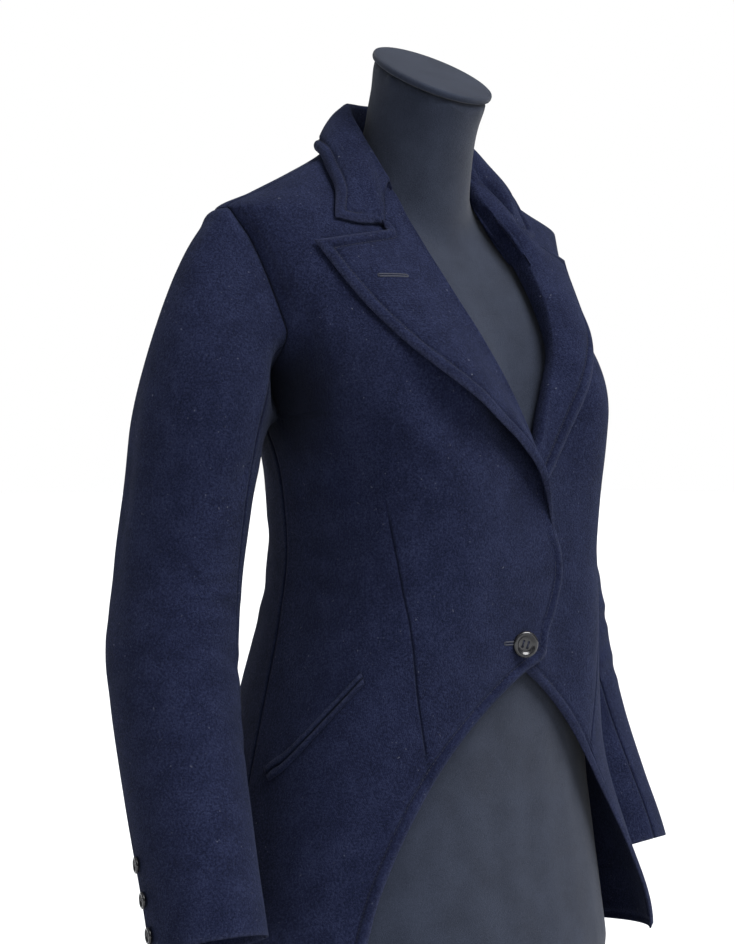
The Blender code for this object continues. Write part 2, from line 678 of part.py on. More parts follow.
def round_plate(name, size, matrix, material, collection):
    """Flat round plate with a broken edge."""
    bpy.ops.mesh.primitive_cylinder_add(vertices=size["sides"], radius=size["radius"] * MM,
                                        depth=size["height"] * MM)
    plate = bpy.context.object
    plate.name = name
    plate.matrix_world = matrix
    finish(plate, material, collection)
    edge = plate.modifiers.new("edge", "BEVEL")
    edge.width = size["edge"] * MM
    edge.segments = 1
    edge.limit_method = "ANGLE"


def make_cap(material, collection):
    z, y = NECK[-1][:2]
    axis = Vector((0, -math.sin(NECK_TILT), math.cos(NECK_TILT)))
    centre = Vector((0, y, z)) + axis * (CAP["height"] / 2 + SEAM)
    matrix = Matrix.Translation(centre * MM) @ Matrix.Rotation(NECK_TILT, 4, "X")
    round_plate("neck_cap", CAP, matrix, material, collection)


def make_stand(material, collection):
    round_plate("stand_base", BASE, Matrix.Translation((0, 0, BASE["height"] / 2 * MM)), material, collection)
    foot, head = BASE["height"] + SEAM, FORM_FLOOR - SEAM
    bpy.ops.mesh.primitive_cylinder_add(vertices=POLE["sides"], radius=POLE["radius"] * MM,
                                        depth=(head - foot) * MM, location=(0, 0, (foot + head) / 2 * MM))
    pole = bpy.context.object
    pole.name = "stand_pole"
    finish(pole, material, collection)


def build():
    for obj in list(bpy.data.objects):
        bpy.data.objects.remove(obj)
    parts = bpy.data.collections.new("riding_coat")
    cutters = bpy.data.collections.new("cutters")
    for collection in (parts, cutters):
        bpy.context.scene.collection.children.link(collection)
    cloth = new_material("navy_wool", NAVY, 0.9)
    cover = new_material("charcoal_jersey", CHARCOAL, 0.85)
    horn = new_material("black_button", BLACK, 0.3)
    iron = new_material("black_iron", IRON, 0.45, 0.6)
    make_form(cover, parts, cutters)
    make_cap(cover, parts)
    make_stand(iron, parts)
    for side in (RIGHT, LEFT):
        make_front(side, cloth, parts)
        make_back(side, cloth, parts)
        make_sleeve(side, cloth, parts)
        make_lapel(side, cloth, parts)
        make_pocket(side, cloth, parts)
    make_collar(cloth, parts)
    make_buttons(horn, parts, cutters)


build()
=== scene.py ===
"""Riding coat of navy wool on a jersey-covered dress form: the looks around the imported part.

Metres, +Z up, front to -Y, the wearer's left to +X. Tables of cloth are in millimetres.
"""
import math

import bpy
import numpy as np
from mathutils import Matrix, Vector


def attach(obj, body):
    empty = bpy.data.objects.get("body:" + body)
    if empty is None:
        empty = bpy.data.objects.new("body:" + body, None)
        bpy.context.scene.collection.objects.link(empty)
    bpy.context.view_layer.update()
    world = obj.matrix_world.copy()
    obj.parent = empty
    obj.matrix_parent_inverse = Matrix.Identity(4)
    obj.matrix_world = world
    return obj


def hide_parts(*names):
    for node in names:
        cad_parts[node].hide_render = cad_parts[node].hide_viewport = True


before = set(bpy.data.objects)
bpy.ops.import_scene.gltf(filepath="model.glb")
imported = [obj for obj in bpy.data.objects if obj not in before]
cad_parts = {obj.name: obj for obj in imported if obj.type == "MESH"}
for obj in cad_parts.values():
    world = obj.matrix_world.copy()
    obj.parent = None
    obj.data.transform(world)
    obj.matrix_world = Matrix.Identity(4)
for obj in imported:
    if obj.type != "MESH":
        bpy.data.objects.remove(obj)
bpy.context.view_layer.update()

# Dress form: a hard limbless body with a leaning neck, thinly padded and covered with charcoal jersey.
# The jersey is pulled tight over it, so the neck runs into the shoulders without an edge.
MM = 0.001
JERSEY_DARK, JERSEY_LIGHT = (0.009, 0.0122, 0.0222, 1), (0.029, 0.0365, 0.059, 1)
JERSEY_SURFACE = {
    "Roughness": 0.95, "Specular IOR Level": 0.15, "Sheen Weight": 0.12, "Sheen Roughness": 0.5,
}
JERSEY_YARN, JERSEY_TONE = {"scale": 1300, "detail": 2}, {"scale": 28, "detail": 3}
JERSEY_RIB = {"Scale": 420.0, "Distortion": 6.0, "Detail": 2.0}
JERSEY_SPREAD = {"yarn": (0.3, 0.7, 0, 0.7), "tone": (0.35, 0.65, 0, 0.3)}
JERSEY_RELIEF = {"yarn": 0.0004, "rib": 0.00006}
FORM_VOXEL = 0.005
FORM_EASE = {"factor": 0.5, "rounds": 12}
NECK_BLEND = {"low": 1.30, "high": 1.42, "rounds": 50}


def shown(obj):
    bpy.context.scene.collection.objects.link(obj)
    return obj


def bake(obj):
    """Makes an object's modifiers real."""
    solved = bpy.data.meshes.new_from_object(obj.evaluated_get(bpy.context.evaluated_depsgraph_get()))
    obj.modifiers.clear()
    obj.data = solved


def smooth_faces(obj):
    obj.data.polygons.foreach_set("use_smooth", np.ones(len(obj.data.polygons), bool))


class Nodes:
    """A material's node tree with short ways to add the nodes that the finishes here need."""

    def __init__(self, name, surface):
        self.material = bpy.data.materials.new(name)
        self.material.use_nodes = True
        self.tree = self.material.node_tree
        self.shader = self.tree.nodes["Principled BSDF"]
        for socket, value in surface.items():
            self.shader.inputs[socket].default_value = value
        self.place = self.tree.nodes.new("ShaderNodeTexCoord").outputs["Object"]

    def put(self, kind, sockets, values=None, out=0):
        node = self.tree.nodes.new(kind)
        for name, value in (values or {}).items():
            setattr(node, name, value)
        for key, value in sockets.items():
            if isinstance(value, bpy.types.NodeSocket):
                self.tree.links.new(value, node.inputs[key])
            else:
                node.inputs[key].default_value = value
        return node.outputs[out]

    def noise(self, scale, detail=3.0, rough=0.55, vector=None):
        return self.put("ShaderNodeTexNoise", {
            "Vector": vector or self.place, "Scale": scale, "Detail": detail, "Roughness": rough})

    def maths(self, operation, first, second=0.0):
        return self.put("ShaderNodeMath", {0: first, 1: second}, {"operation": operation})

    def spread(self, value, low, high, start=0.0, end=1.0):
        """Stretches a value between two limits and keeps it between the two ends."""
        return self.put("ShaderNodeMapRange", {
            "Value": value, "From Min": low, "From Max": high, "To Min": start, "To Max": end})

    def blend(self, share, first, second):
        node = self.tree.nodes.new("ShaderNodeMix")
        node.data_type = "RGBA"
        for socket, value in ((node.inputs[0], share), (node.inputs[6], first), (node.inputs[7], second)):
            if isinstance(value, bpy.types.NodeSocket):
                self.tree.links.new(value, socket)
            else:
                socket.default_value = value
        return node.outputs[2]

    def mark(self, name):
        """A value that the mesh carries at its points."""
        return self.put("ShaderNodeAttribute", {}, {"attribute_name": name}, out=2)

    def relief(self, heights):
        """Bump from pairs of a height and its depth in metres."""
        normal = None
        for height, depth in heights:
            sockets = {"Height": height, "Distance": depth, "Strength": 1.0}
            if normal:
                sockets["Normal"] = normal
            normal = self.put("ShaderNodeBump", sockets)
        self.tree.links.new(normal, self.shader.inputs["Normal"])

    def paint(self, socket, value):
        self.tree.links.new(value, self.shader.inputs[socket])


def jersey_finish():
    nodes = Nodes("charcoal_jersey_cover", JERSEY_SURFACE)
    yarn, tone = nodes.noise(**JERSEY_YARN), nodes.noise(**JERSEY_TONE)
    rib_sockets = {"Vector": nodes.place, **JERSEY_RIB}
    rib = nodes.put("ShaderNodeTexWave", rib_sockets, {"bands_direction": "X"}, out=1)
    share = nodes.spread(yarn, *JERSEY_SPREAD["yarn"])
    share = nodes.maths("ADD", share, nodes.spread(tone, *JERSEY_SPREAD["tone"]))
    nodes.paint("Base Color", nodes.blend(share, JERSEY_DARK, JERSEY_LIGHT))
    nodes.relief(((yarn, JERSEY_RELIEF["yarn"]), (rib, JERSEY_RELIEF["rib"])))
    return nodes.material


jersey = jersey_finish()
form = shown(bpy.data.objects.new("form_cover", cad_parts["dress_form"].data.copy()))
form.data.materials.clear()
remesh = form.modifiers.new("voxels", "REMESH")
remesh.mode, remesh.voxel_size = "VOXEL", FORM_VOXEL
bake(form)
neck_zone = form.vertex_groups.new(name="neck")
for vertex in form.data.vertices:
    if NECK_BLEND["low"] < vertex.co.z < NECK_BLEND["high"]:
        neck_zone.add([vertex.index], 1.0, "REPLACE")
for rounds, group in ((NECK_BLEND["rounds"], "neck"), (FORM_EASE["rounds"], "")):
    easing = form.modifiers.new("ease", "SMOOTH")
    easing.factor, easing.iterations, easing.vertex_group = FORM_EASE["factor"], rounds, group
bake(form)
smooth_faces(form)
form.data.materials.append(jersey)
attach(form, "root")
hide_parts("dress_form")

# Neck cap: a flat wooden disc under the same jersey, a little wider than the neck and tilted with it.
# The cover is turned over its edge and sewn below.
CAP_TILT = math.radians(30)
CAP_FOOT = (0, -5, 1452)
CAP_LIFT = 0.3
CAP_PROFILE = ((0, 0), (54, 0), (55.4, 0.6), (56, 2), (56, 4), (55.4, 5.3), (54, 6), (50, 6.2), (0, 6.2))
TURN_STEPS, WELD_GAP = 72, 0.00001


def turned(name, profile, matrix, steps):
    """A piece turned round its axis from a profile of radius and height in millimetres."""
    angles = np.linspace(0, 2 * math.pi, steps, endpoint=False)
    points, faces = [], []
    for radius, height in profile:
        points += [(radius * math.cos(a) * MM, radius * math.sin(a) * MM, height * MM) for a in angles]
    for level in range(len(profile) - 1):
        for i in range(steps):
            a, b = level * steps + i, level * steps + (i + 1) % steps
            faces.append((a, b, b + steps, a + steps))
    mesh = bpy.data.meshes.new(name)
    mesh.from_pydata(points, [], faces)
    mesh.transform(matrix)
    obj = shown(bpy.data.objects.new(name, mesh))
    weld = obj.modifiers.new("weld", "WELD")
    weld.merge_threshold = WELD_GAP
    bake(obj)
    smooth_faces(obj)
    return obj


cap_axis = Vector((0, -math.sin(CAP_TILT), math.cos(CAP_TILT)))
cap_matrix = (Matrix.Translation((Vector(CAP_FOOT) + cap_axis * CAP_LIFT) * MM)
              @ Matrix.Rotation(CAP_TILT, 4, "X"))
cap = turned("neck_cap_cover", CAP_PROFILE, cap_matrix, TURN_STEPS)
cap.data.materials.append(jersey)
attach(cap, "root")
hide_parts("neck_cap")

# Stand: a steel tube in a cast round base, both stove-enamelled satin black.
# The base has a broken edge, and the enamel is rubbed a little paler in patches.
ENAMEL_DARK, ENAMEL_WORN = (0.014, 0.014, 0.016, 1), (0.04, 0.04, 0.042, 1)
ENAMEL_SURFACE = {"Roughness": 0.42, "Specular IOR Level": 0.5}
ENAMEL_PEEL, ENAMEL_RUB = {"scale": 260, "detail": 2}, {"scale": 35, "detail": 5}
ENAMEL_GLOSS = {"scale": 60, "detail": 4}
ENAMEL_SPREAD = {"rub": (0.52, 0.75), "gloss": (0.3, 0.7, 0.34, 0.55)}
ENAMEL_RELIEF = 0.00012
BASE_PROFILE = ((0, 0), (166, 0), (169, 1.2), (170, 4), (170, 13), (169, 16), (166.5, 17.6), (162, 18),
                (40, 18), (0, 18))
POLE_PROFILE = ((0, 18.3), (14.4, 18.3), (15, 19), (15, 599), (14.4, 599.7), (0, 599.7))


def enamel_finish():
    nodes = Nodes("black_enamel", ENAMEL_SURFACE)
    rubbed = nodes.spread(nodes.noise(**ENAMEL_RUB), *ENAMEL_SPREAD["rub"])
    nodes.paint("Base Color", nodes.blend(rubbed, ENAMEL_DARK, ENAMEL_WORN))
    nodes.paint("Roughness", nodes.spread(nodes.noise(**ENAMEL_GLOSS), *ENAMEL_SPREAD["gloss"]))
    nodes.relief(((nodes.noise(**ENAMEL_PEEL), ENAMEL_RELIEF),))
    return nodes.material


enamel = enamel_finish()
STAND_PIECES = (("base_casting", "stand_base", BASE_PROFILE), ("pole_tube", "stand_pole", POLE_PROFILE))
for name, node, profile in STAND_PIECES:
    piece = turned(name, profile, Matrix.Identity(4), TURN_STEPS)
    piece.data.materials.append(enamel)
    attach(piece, "root")
    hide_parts(node)

# Coat fronts: one panel a side of fulled wool coating, darted at the waist, cut away below the button.
# The right laps over the left; the free edges are turned in and stitched down 9 mm from the fold.
LEFT, RIGHT = 1, -1
WORD = {LEFT: "left", RIGHT: "right"}
WALL = 2.2
HEM, ARMPIT, SHOULDER_TIP, NECK_POINT = 685, 1150, 1327, 1396
SHOULDER_TURN, SHOULDER_GAP = math.radians(90), 0.003
SIDE_SEAM_TURN, SIDE_SEAM_GAP = math.radians(100), 0.0011
# Levels of the coat: height, half width, y of the side line, depth before it and behind it, squareness before
LEVELS = (
    (600, 196, 0, 130, 172, 2.4), (HEM, 205, 0, 138, 190, 2.4), (760, 195, 0, 126, 180, 2.4),
    (850, 178, 0, 116, 165, 2.5), (925, 160, 2, 123, 148, 2.7), (980, 148, 4, 130, 130, 3.0),
    (1040, 140, 6, 136, 118, 3.1), (1100, 145, 9, 138, 114, 2.9), (ARMPIT, 158, 14, 131, 113, 2.6),
    (1200, 168, 22, 122, 112, 2.5), (1250, 178, 30, 106, 104, 2.4), (1300, 189, 38, 80, 88, 2.4),
    (SHOULDER_TIP, 197, 42, 63, 70, 2.4), (1345, 160, 42, 51, 60, 2.4), (1365, 118, 42, 32, 52, 2.4),
    (1385, 80, 42, 21, 43, 2.4), (1402, 58, 42, 14, 35, 2.4),
)
BACK_SQUARENESS = 2.3
BUST = {"aside": 98, "height": 1178, "reach_aside": 54, "reach_up": 66, "rise": 32}
# Front edge: height, and how far it lies on its own side of the centre
FRONT_EDGE = (
    (690, 172), (760, 147), (824, 113), (889, 64), (936, 2), (943, -14), (950, -22), (964, -22.5),
    (990, -31), (1017, -36), (1036, -33.5), (1050, -27), (1090, -11), (1140, 6), (1178, 22), (1214, 38),
    (1262, 48), (1300, 51), (1345, 49), (1366, 54), (1385, 57), (NECK_POINT, 62),
)
FRONT_ROWS = (
    690, 725, 760, 795, 830, 862, 892, 916, 936, 943, 950, 965, 990, 1015, 1036, 1062, 1100, 1140,
    1170, 1200, 1230, 1262, 1295, 1325, 1348, 1366, 1384, NECK_POINT,
)
ARMPIT_ROW, ARMHOLE_ROWS = 17, 10
ARMHOLE = {"fore": math.radians(11), "aft": math.radians(36), "bow": 0.85, "under": 0.006}
LAP = {"sink": 8.8, "starts": 105, "full": 35, "level_above": 1290, "full_below": 1140}
# The left front's tail swings out, and its side opens further than the right one
TAIL = {"out": 20, "starts": 880, "full": 700, "from_turn": 98, "full_turn": 58}
OPEN_LEFT = {"aside": 11, "starts": 1085, "full": 1140, "fades": 1280, "ends": 1340}
BREAK = {"height": 1046, "blend": 25, "sewn_below": 12}
# Underarm: the stretch of armhole that is pulled back, in degrees from the shoulder tip, how far and how
# wide; the shaded keys give how far the painted shade in the fold under the arm reaches and along which
# stretch
UNDERARM = {
    "from": 98, "to": 184, "points": 14, "pull": (-6, 44, 2), "reach": 17, "grown": 0.45, "eases": 0.5,
    "least": 0.1, "shaded": 34, "shaded_to": 190, "shaded_points": 16, "shaded_from": 0.04,
}
# Dart: height and turn in degrees, from the front edge up to its point under the bust
DART = ((859, 29.9), (909, 36.1), (978, 45.4), (1017, 53.1), (1052, 57.7), (1091, 60.5))
DART_FORM = {
    "depth": 1.3, "width": 1.0, "fades": 0.85, "points": 40,
    "broad": 0.4, "broad_width": 8, "broad_fades": 0.7,
}
# Grid column on the dart: its least and greatest share of the way across, and its share above the dart
DART_COLUMN = {"least": 0.12, "most": 0.8, "above": 0.6, "leaves": 1170, "left": 1270, "room": 0.05}
# Side of the grid without the armhole's hollow: its turn above, and the rows between which it gets there
GRID_CALM = {"turn": math.radians(79), "from_row": 8, "to_row": 23, "leaves_row": 22, "power": 5}
# Main creases, by side: turn and height of both ends, bow across, depth and half width
FRONT_CREASES = {
    RIGHT: (
        (16, 1112, 46, 1198, -4, 8.0, 18), (66, 1250, 74, 1190, 3, 2.5, 10),
        (80, 1128, 62, 1062, -5, 1.8, 17), (93, 1010, 66, 990, 4, 1.6, 9), (90, 1040, 70, 1030, -4, 1.2, 9),
        (22, 985, 52, 1080, 8, 1.3, 18), (18, 940, 62, 905, -8, 1.2, 18),
    ),
    LEFT: (
        (66, 1248, 74, 1192, 3, 2.2, 10), (84, 1120, 60, 1070, 6, 1.7, 16), (95, 1018, 64, 1000, -4, 1.5, 9),
        (88, 1046, 72, 1030, 4, 1.1, 10), (30, 1000, 56, 1088, -7, 1.2, 17),
    ),
}
CREASE = {"fade": 1.1, "ridge": 0.35, "ridge_at": 1.7, "ridge_width": 0.8, "points": 15}
# Distances from the edge and the seams over which creases grow, and from the seams for unevenness
FRONT_CLEAR = {"edge": (6, 30), "seam": (0, 12), "calm": (0, 25)}
SWELL = {
    "width": 9.5, "rise": 2.1, "outer": 1.2, "lean": 0.4, "groove": 1.2, "groove_width": 1.5, "beyond": 0.3,
}
SEWN = {"drop": 0.9, "width": 1.1, "roll": 0.25, "roll_at": 4.0, "roll_width": 2.6}
# Unevenness: height, the lengths of its waves along x, y and z, and how much the seed turns them
UNREST = ((0.32, 31, math.inf, 57, 1), (0.26, math.inf, 24, -41, 2), (0.18, 15, 19, 23, 0))
UNREST_SHIFT = (37, -23, 0)
FRONT_SEED = 2
# Marks on the cloth: widths of dark seams, partly dirt and partly painted shade, of painted shade in the
# stitch grooves and of rubbed edges, and how strong each is
SEAM_AND_SHADE_MARK = {"wide": 1.3, "fine": 1.2, "groove": 1.1, "painted_groove_shade": 0.7}
RUBBED = {"width": 2.5, "front": 0.5}
CORNER = {"height": 950, "reach": 5, "wear": 1.6}
EDGE_ANGLES = np.radians((40, 90, 140))
FRONT_GRID = {"rows": 190, "near": 46, "far": 46, "crowding": 0.35}


def curve_through(rows, column):
    """A curve through one column of a table, keyed by the first, that never overshoots its rows."""
    xs = np.array([row[0] for row in rows], float)
    ys = np.array([row[column] for row in rows], float)
    steps = np.diff(xs)
    slopes = np.diff(ys) / steps
    tangents = np.zeros(len(xs))
    tangents[0], tangents[-1] = slopes[0], slopes[-1]
    for i in range(1, len(xs) - 1):
        if slopes[i - 1] * slopes[i] > 0:
            near, far = 2 * steps[i] + steps[i - 1], steps[i] + 2 * steps[i - 1]
            tangents[i] = (near + far) / (near / slopes[i - 1] + far / slopes[i])

    def read(x):
        x = np.clip(x, xs[0], xs[-1])
        i = np.clip(np.searchsorted(xs, x) - 1, 0, len(xs) - 2)
        t = (x - xs[i]) / steps[i]
        return ((1 + 2 * t) * (1 - t) ** 2 * ys[i] + t * (1 - t) ** 2 * steps[i] * tangents[i]
                + t * t * (3 - 2 * t) * ys[i + 1] + t * t * (t - 1) * steps[i] * tangents[i + 1])
    return read


half_width, ridge, front_depth, back_depth, squareness = [curve_through(LEVELS, k) for k in range(1, 6)]
front_edge, dart_turn = curve_through(FRONT_EDGE, 1), curve_through(DART, 1)


def ease(value, start, end):
    t = np.clip((value - start) / (end - start), 0, 1)
    return t * t * (3 - 2 * t)


def bell(distance, width):
    """1 at no distance, falling off smoothly over a width."""
    return np.exp(-(distance / width) ** 2)


def body_point(turn, height):
    """Outer face of the coat's body: turn 0 is the centre front, a quarter turn the left side."""
    s, c = np.sin(turn), np.cos(turn)
    power = 2 / np.where(c >= 0, squareness(height), BACK_SQUARENESS)
    x = half_width(height) * np.sign(s) * np.abs(s) ** power
    across = (np.abs(x) - BUST["aside"]) / BUST["reach_aside"]
    up = (height - BUST["height"]) / BUST["reach_up"]
    bust = BUST["rise"] * np.sqrt(np.maximum(c, 0)) * np.exp(-across ** 2 - up ** 2)
    depth = np.abs(c) ** power
    y = ridge(height) + np.where(c >= 0, -front_depth(height) * depth - bust, back_depth(height) * depth)
    return np.stack([x, y, height + 0 * x], -1)


def body(turn, height, out=0.0):
    """The same face moved out along its normal."""
    step = 0.004
    along = body_point(turn + step, height) - body_point(turn - step, height)
    rise = body_point(turn, height + 1) - body_point(turn, height - 1)
    normal = np.cross(along, rise)
    normal /= np.linalg.norm(normal, axis=-1, keepdims=True)
    return body_point(turn, height) + np.asarray(out)[..., None] * normal


def turn_at(aside, height):
    share = np.minimum(np.abs(aside) / half_width(height), 1)
    return np.sign(aside) * np.arcsin(share ** (squareness(height) / 2))


def front(turn, height, side, out=0.0):
    """A front's outer face; the left one sinks under the right one where they lap."""
    shift = 0.0
    if side == LEFT:
        near = ease(body_point(turn, height)[..., 0], LAP["starts"], LAP["full"])
        swing = ease(np.degrees(turn), TAIL["from_turn"], TAIL["full_turn"])
        shift = (TAIL["out"] * swing * ease(height, TAIL["starts"], TAIL["full"])
                 - LAP["sink"] * near * ease(height, LAP["level_above"], LAP["full_below"]))
    return body(turn, height, shift + out)


def opening(height, side):
    """How much further from the centre the left side's roll and lapel lie."""
    if side == RIGHT:
        return 0.0 * height
    rising = ease(height, OPEN_LEFT["starts"], OPEN_LEFT["full"])
    return OPEN_LEFT["aside"] * rising * ease(height, OPEN_LEFT["ends"], OPEN_LEFT["fades"])


def armhole(angle):
    """Turn and height of the armhole: 0 at the shoulder tip, a quarter turn before the arm."""
    s = np.sin(angle)
    bow = np.sign(s) * np.abs(s) ** ARMHOLE["bow"]
    swing = np.where(s > 0, ARMHOLE["fore"], ARMHOLE["aft"])
    middle, half = (SHOULDER_TIP + ARMPIT) / 2, (SHOULDER_TIP - ARMPIT) / 2
    return SHOULDER_TURN - swing * bow, middle + half * np.cos(angle)


def drawn_in(points):
    """Pulls the cloth before the armpit back between arm and body, so that the chest folds over it."""
    angles = np.radians(np.linspace(UNDERARM["from"], UNDERARM["to"], UNDERARM["points"]))
    distance, share = along_line(points, body(*armhole(angles)))
    near = bell(distance, UNDERARM["reach"]) * ease(share, 0, UNDERARM["grown"])
    near *= 1 - (1 - UNDERARM["least"]) * ease(share, UNDERARM["eases"], 1.0)
    return points + np.array(UNDERARM["pull"]) * near[..., None]


def underarm_shade_mask(points, reach):
    """How strongly painted shade falls on each point in the fold under the arm, from 0 to 1."""
    angles = np.radians(np.linspace(UNDERARM["from"], UNDERARM["shaded_to"], UNDERARM["shaded_points"]))
    distance, share = along_line(points, body(*armhole(angles)))
    return bell(distance, reach) * ease(share, UNDERARM["shaded_from"], UNDERARM["grown"])


def crowded(count, crowding=0.8):
    """Shares from 0 to 1 that lie closer together at both ends."""
    t = np.linspace(0, 1, count)
    return t - crowding * np.sin(2 * math.pi * t) / (2 * math.pi)


def along_line(points, line):
    """How far each point is from a line of points, and at which share of its length."""
    best, share = np.full(points.shape[:-1], np.inf), np.zeros(points.shape[:-1])
    ends = np.concatenate([[0], np.cumsum(np.linalg.norm(np.diff(line, axis=0), axis=1))])
    for a, b, start, end in zip(line[:-1], line[1:], ends[:-1], ends[1:]):
        if end - start < 1e-6:
            continue
        t = np.clip((points - a) @ (b - a) / (end - start) ** 2, 0, 1)
        distance = np.linalg.norm(points - a - t[..., None] * (b - a), axis=-1)
        nearer = distance < best
        best[nearer] = distance[nearer]
        share[nearer] = ((start + (end - start) * t) / ends[-1])[nearer]
    return best, share


def groove(distance, width):
    """Groove of a stitch line that runs along an edge, from 0 to 1."""
    return bell(distance - SWELL["width"] - SWELL["beyond"], width)


def swelled(distance):
    """Edge turned in and stitched down: a soft ridge up to the stitch line and a groove along it."""
    inside = np.clip(distance / SWELL["width"], 0, 1)
    ridge_rise = SWELL["rise"] * 4 * inside * (1 - inside) * (SWELL["outer"] - SWELL["lean"] * inside)
    return ridge_rise - SWELL["groove"] * groove(distance, SWELL["groove_width"])


def sewn(distance):
    """Edge sewn to the next panel: it sinks into the seam and rolls a little beside it."""
    roll = bell(distance - SEWN["roll_at"], SEWN["roll_width"])
    return SEWN["roll"] * roll - SEWN["drop"] * bell(distance, SEWN["width"])


def stitch_line(outer, to_edge, walks):
    """Points where the stitch line crosses walks that lead inwards from an edge of a grid."""
    line = []
    for walk in walks:
        distance, points = to_edge[walk], outer[walk]
        beyond = np.nonzero(distance >= SWELL["width"])[0]
        if len(beyond) and beyond[0] > 0:
            k = beyond[0]
            t = (SWELL["width"] - distance[k - 1]) / (distance[k] - distance[k - 1])
            line.append(points[k - 1] + (points[k] - points[k - 1]) * t)
    return np.array(line)


def crease(points, line, depth, width):
    """Soft trough along a line, with a lower ridge on either side, that fades at its ends."""
    distance, share = along_line(points, line)
    fade = np.sin(math.pi * np.clip(share, 0, 1)) ** CREASE["fade"]
    across = distance / width
    ridges = CREASE["ridge"] * bell(across - CREASE["ridge_at"], CREASE["ridge_width"])
    return depth * fade * (ridges - bell(across, 1))


def bowed(surface, first, second, bow, *rest):
    """Line of points on a surface between two of its places, bowed sideways by so much."""
    t = np.linspace(0, 1, CREASE["points"])
    ways = np.array(first)[None] * (1 - t)[:, None] + np.array(second)[None] * t[:, None]
    return surface(np.radians(ways[:, 0]), ways[:, 1] + 4 * bow * t * (1 - t), *rest)


def creased(points, creases, surface, *rest):
    """All the creases of a table on a grid of points of a surface."""
    return sum(crease(points, bowed(surface, ends[:2], ends[2:], bow, *rest), depth, width)
               for *ends, bow, depth, width in creases)


def unrest(points, seed):
    """Slow unevenness of hung cloth, a fraction of a millimetre."""
    x, y, z = np.moveaxis(points + seed * np.array(UNREST_SHIFT), -1, 0)
    return sum(rise * np.sin(x / x_long + y / y_long + z / z_long + turn * seed)
               for rise, x_long, y_long, z_long, turn in UNREST)


def grid_normals(grid):
    normals = np.cross(np.gradient(grid, axis=1), np.gradient(grid, axis=0))
    return normals / np.maximum(np.linalg.norm(normals, axis=2, keepdims=True), 1e-9)


def border(rows, columns):
    """Places of a grid's border in order, with the name of the edge that each lies on."""
    walk = [(0, j, "low") for j in range(columns)]
    walk += [(i, columns - 1, "far") for i in range(1, rows)]
    walk += [(rows - 1, j, "high") for j in range(columns - 2, -1, -1)]
    walk += [(i, 0, "near") for i in range(rows - 2, 0, -1)]
    return walk


def cloth(name, outer, side, free, marks, wall=WALL):
    """Closed wall of cloth on a grid of outer points; its free edges are rounded, the others cut square."""
    rows, columns = outer.shape[:2]
    normal = grid_normals(outer)
    inner = outer - wall * normal
    count = rows * columns
    layers = [outer.reshape(-1, 3), inner.reshape(-1, 3)]
    quads = np.arange(count).reshape(rows, columns)
    quads = np.stack([quads[:-1, :-1], quads[:-1, 1:], quads[1:, 1:], quads[1:, :-1]], -1).reshape(-1, 4)
    faces = [quads, quads[:, ::-1] + count]
    walk = border(rows, columns)
    rim = np.array([i * columns + j for i, j, _ in walk])
    away = []
    for i, j, edge in walk:
        inward = (min(max(i, 1), rows - 2), min(max(j, 1), columns - 2))
        way = outer[i, j] - outer[inward]
        way -= normal[i, j] * (way @ normal[i, j])
        away.append(way / max(np.linalg.norm(way), 1e-9) * (1.0 if edge in free else 0.0))
    away, up = np.array(away), normal.reshape(-1, 3)[rim]
    middle = (layers[0][rim] + layers[1][rim]) / 2
    rings = [rim]
    for angle in EDGE_ANGLES:
        rings.append(np.arange(len(rim)) + sum(len(layer) for layer in layers))
        layers.append(middle + wall / 2 * (up * math.cos(angle) + away * math.sin(angle)))
    rings.append(rim + count)
    for first, second in zip(rings[:-1], rings[1:]):
        faces.append(np.stack([np.roll(first, -1), first, second, np.roll(second, -1)], -1))
    points = np.concatenate(layers) * (side * MM, MM, MM)
    faces = np.concatenate(faces)
    if side == RIGHT:
        faces = faces[:, ::-1]
    mesh = bpy.data.meshes.new(name)
    mesh.from_pydata(points, [], faces.tolist())
    around = np.cumsum(np.linalg.norm(np.diff(outer, axis=1, prepend=outer[:, :1]), axis=2), axis=1)
    along = np.cumsum(np.linalg.norm(np.diff(outer, axis=0, prepend=outer[:1]), axis=2), axis=0)
    source = np.concatenate([np.arange(count), np.arange(count)] + [rim] * len(EDGE_ANGLES))
    flat = np.stack([around.ravel(), along.ravel()], -1)[source] * MM
    corners = np.empty(len(mesh.loops), int)
    mesh.loops.foreach_get("vertex_index", corners)
    mesh.uv_layers.new(name="cut").data.foreach_set("uv", flat[corners].ravel())
    for key, value in marks.items():
        mesh.attributes.new(key, "FLOAT", "POINT").data.foreach_set("value", value.ravel()[source])
    obj = shown(bpy.data.objects.new(name, mesh))
    smooth_faces(obj)
    obj.data.materials.append(wool)
    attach(obj, "root")
    return obj


WOOL_DEEP, WOOL_NAVY = (0.0036, 0.0052, 0.0165, 1), (0.0098, 0.0132, 0.039, 1)
WOOL_PALE = (0.026, 0.033, 0.076, 1)
# The last colour on the next line is painted shade, near black, for the fold under the arms.
WOOL_FLECK, WOOL_WORN, WOOL_PAINTED_SHADE = (0.14, 0.15, 0.2, 1), (0.05, 0.056, 0.1, 1), (0.0012, 0.0018, 0.0045, 1)
WOOL_SURFACE = {
    "Roughness": 0.96, "Specular IOR Level": 0.1,
    "Sheen Weight": 0.06, "Sheen Roughness": 0.4, "Sheen Tint": (0.55, 0.65, 0.95, 1),
}
WOOL_NOISE = {
    "nap": {"scale": 560, "detail": 4, "rough": 0.7}, "fibre": {"scale": 1300, "detail": 2, "rough": 0.6},
    "mottle": {"scale": 42, "detail": 4},
    "lint": {"scale": 330, "detail": 1}, "patch": {"scale": 24, "detail": 2},
}
WOOL_TWILL = {"Scale": 260.0, "Distortion": 5.0, "Detail": 2.0, "Detail Scale": 1.5}
TWILL_SLANT = math.radians(52)
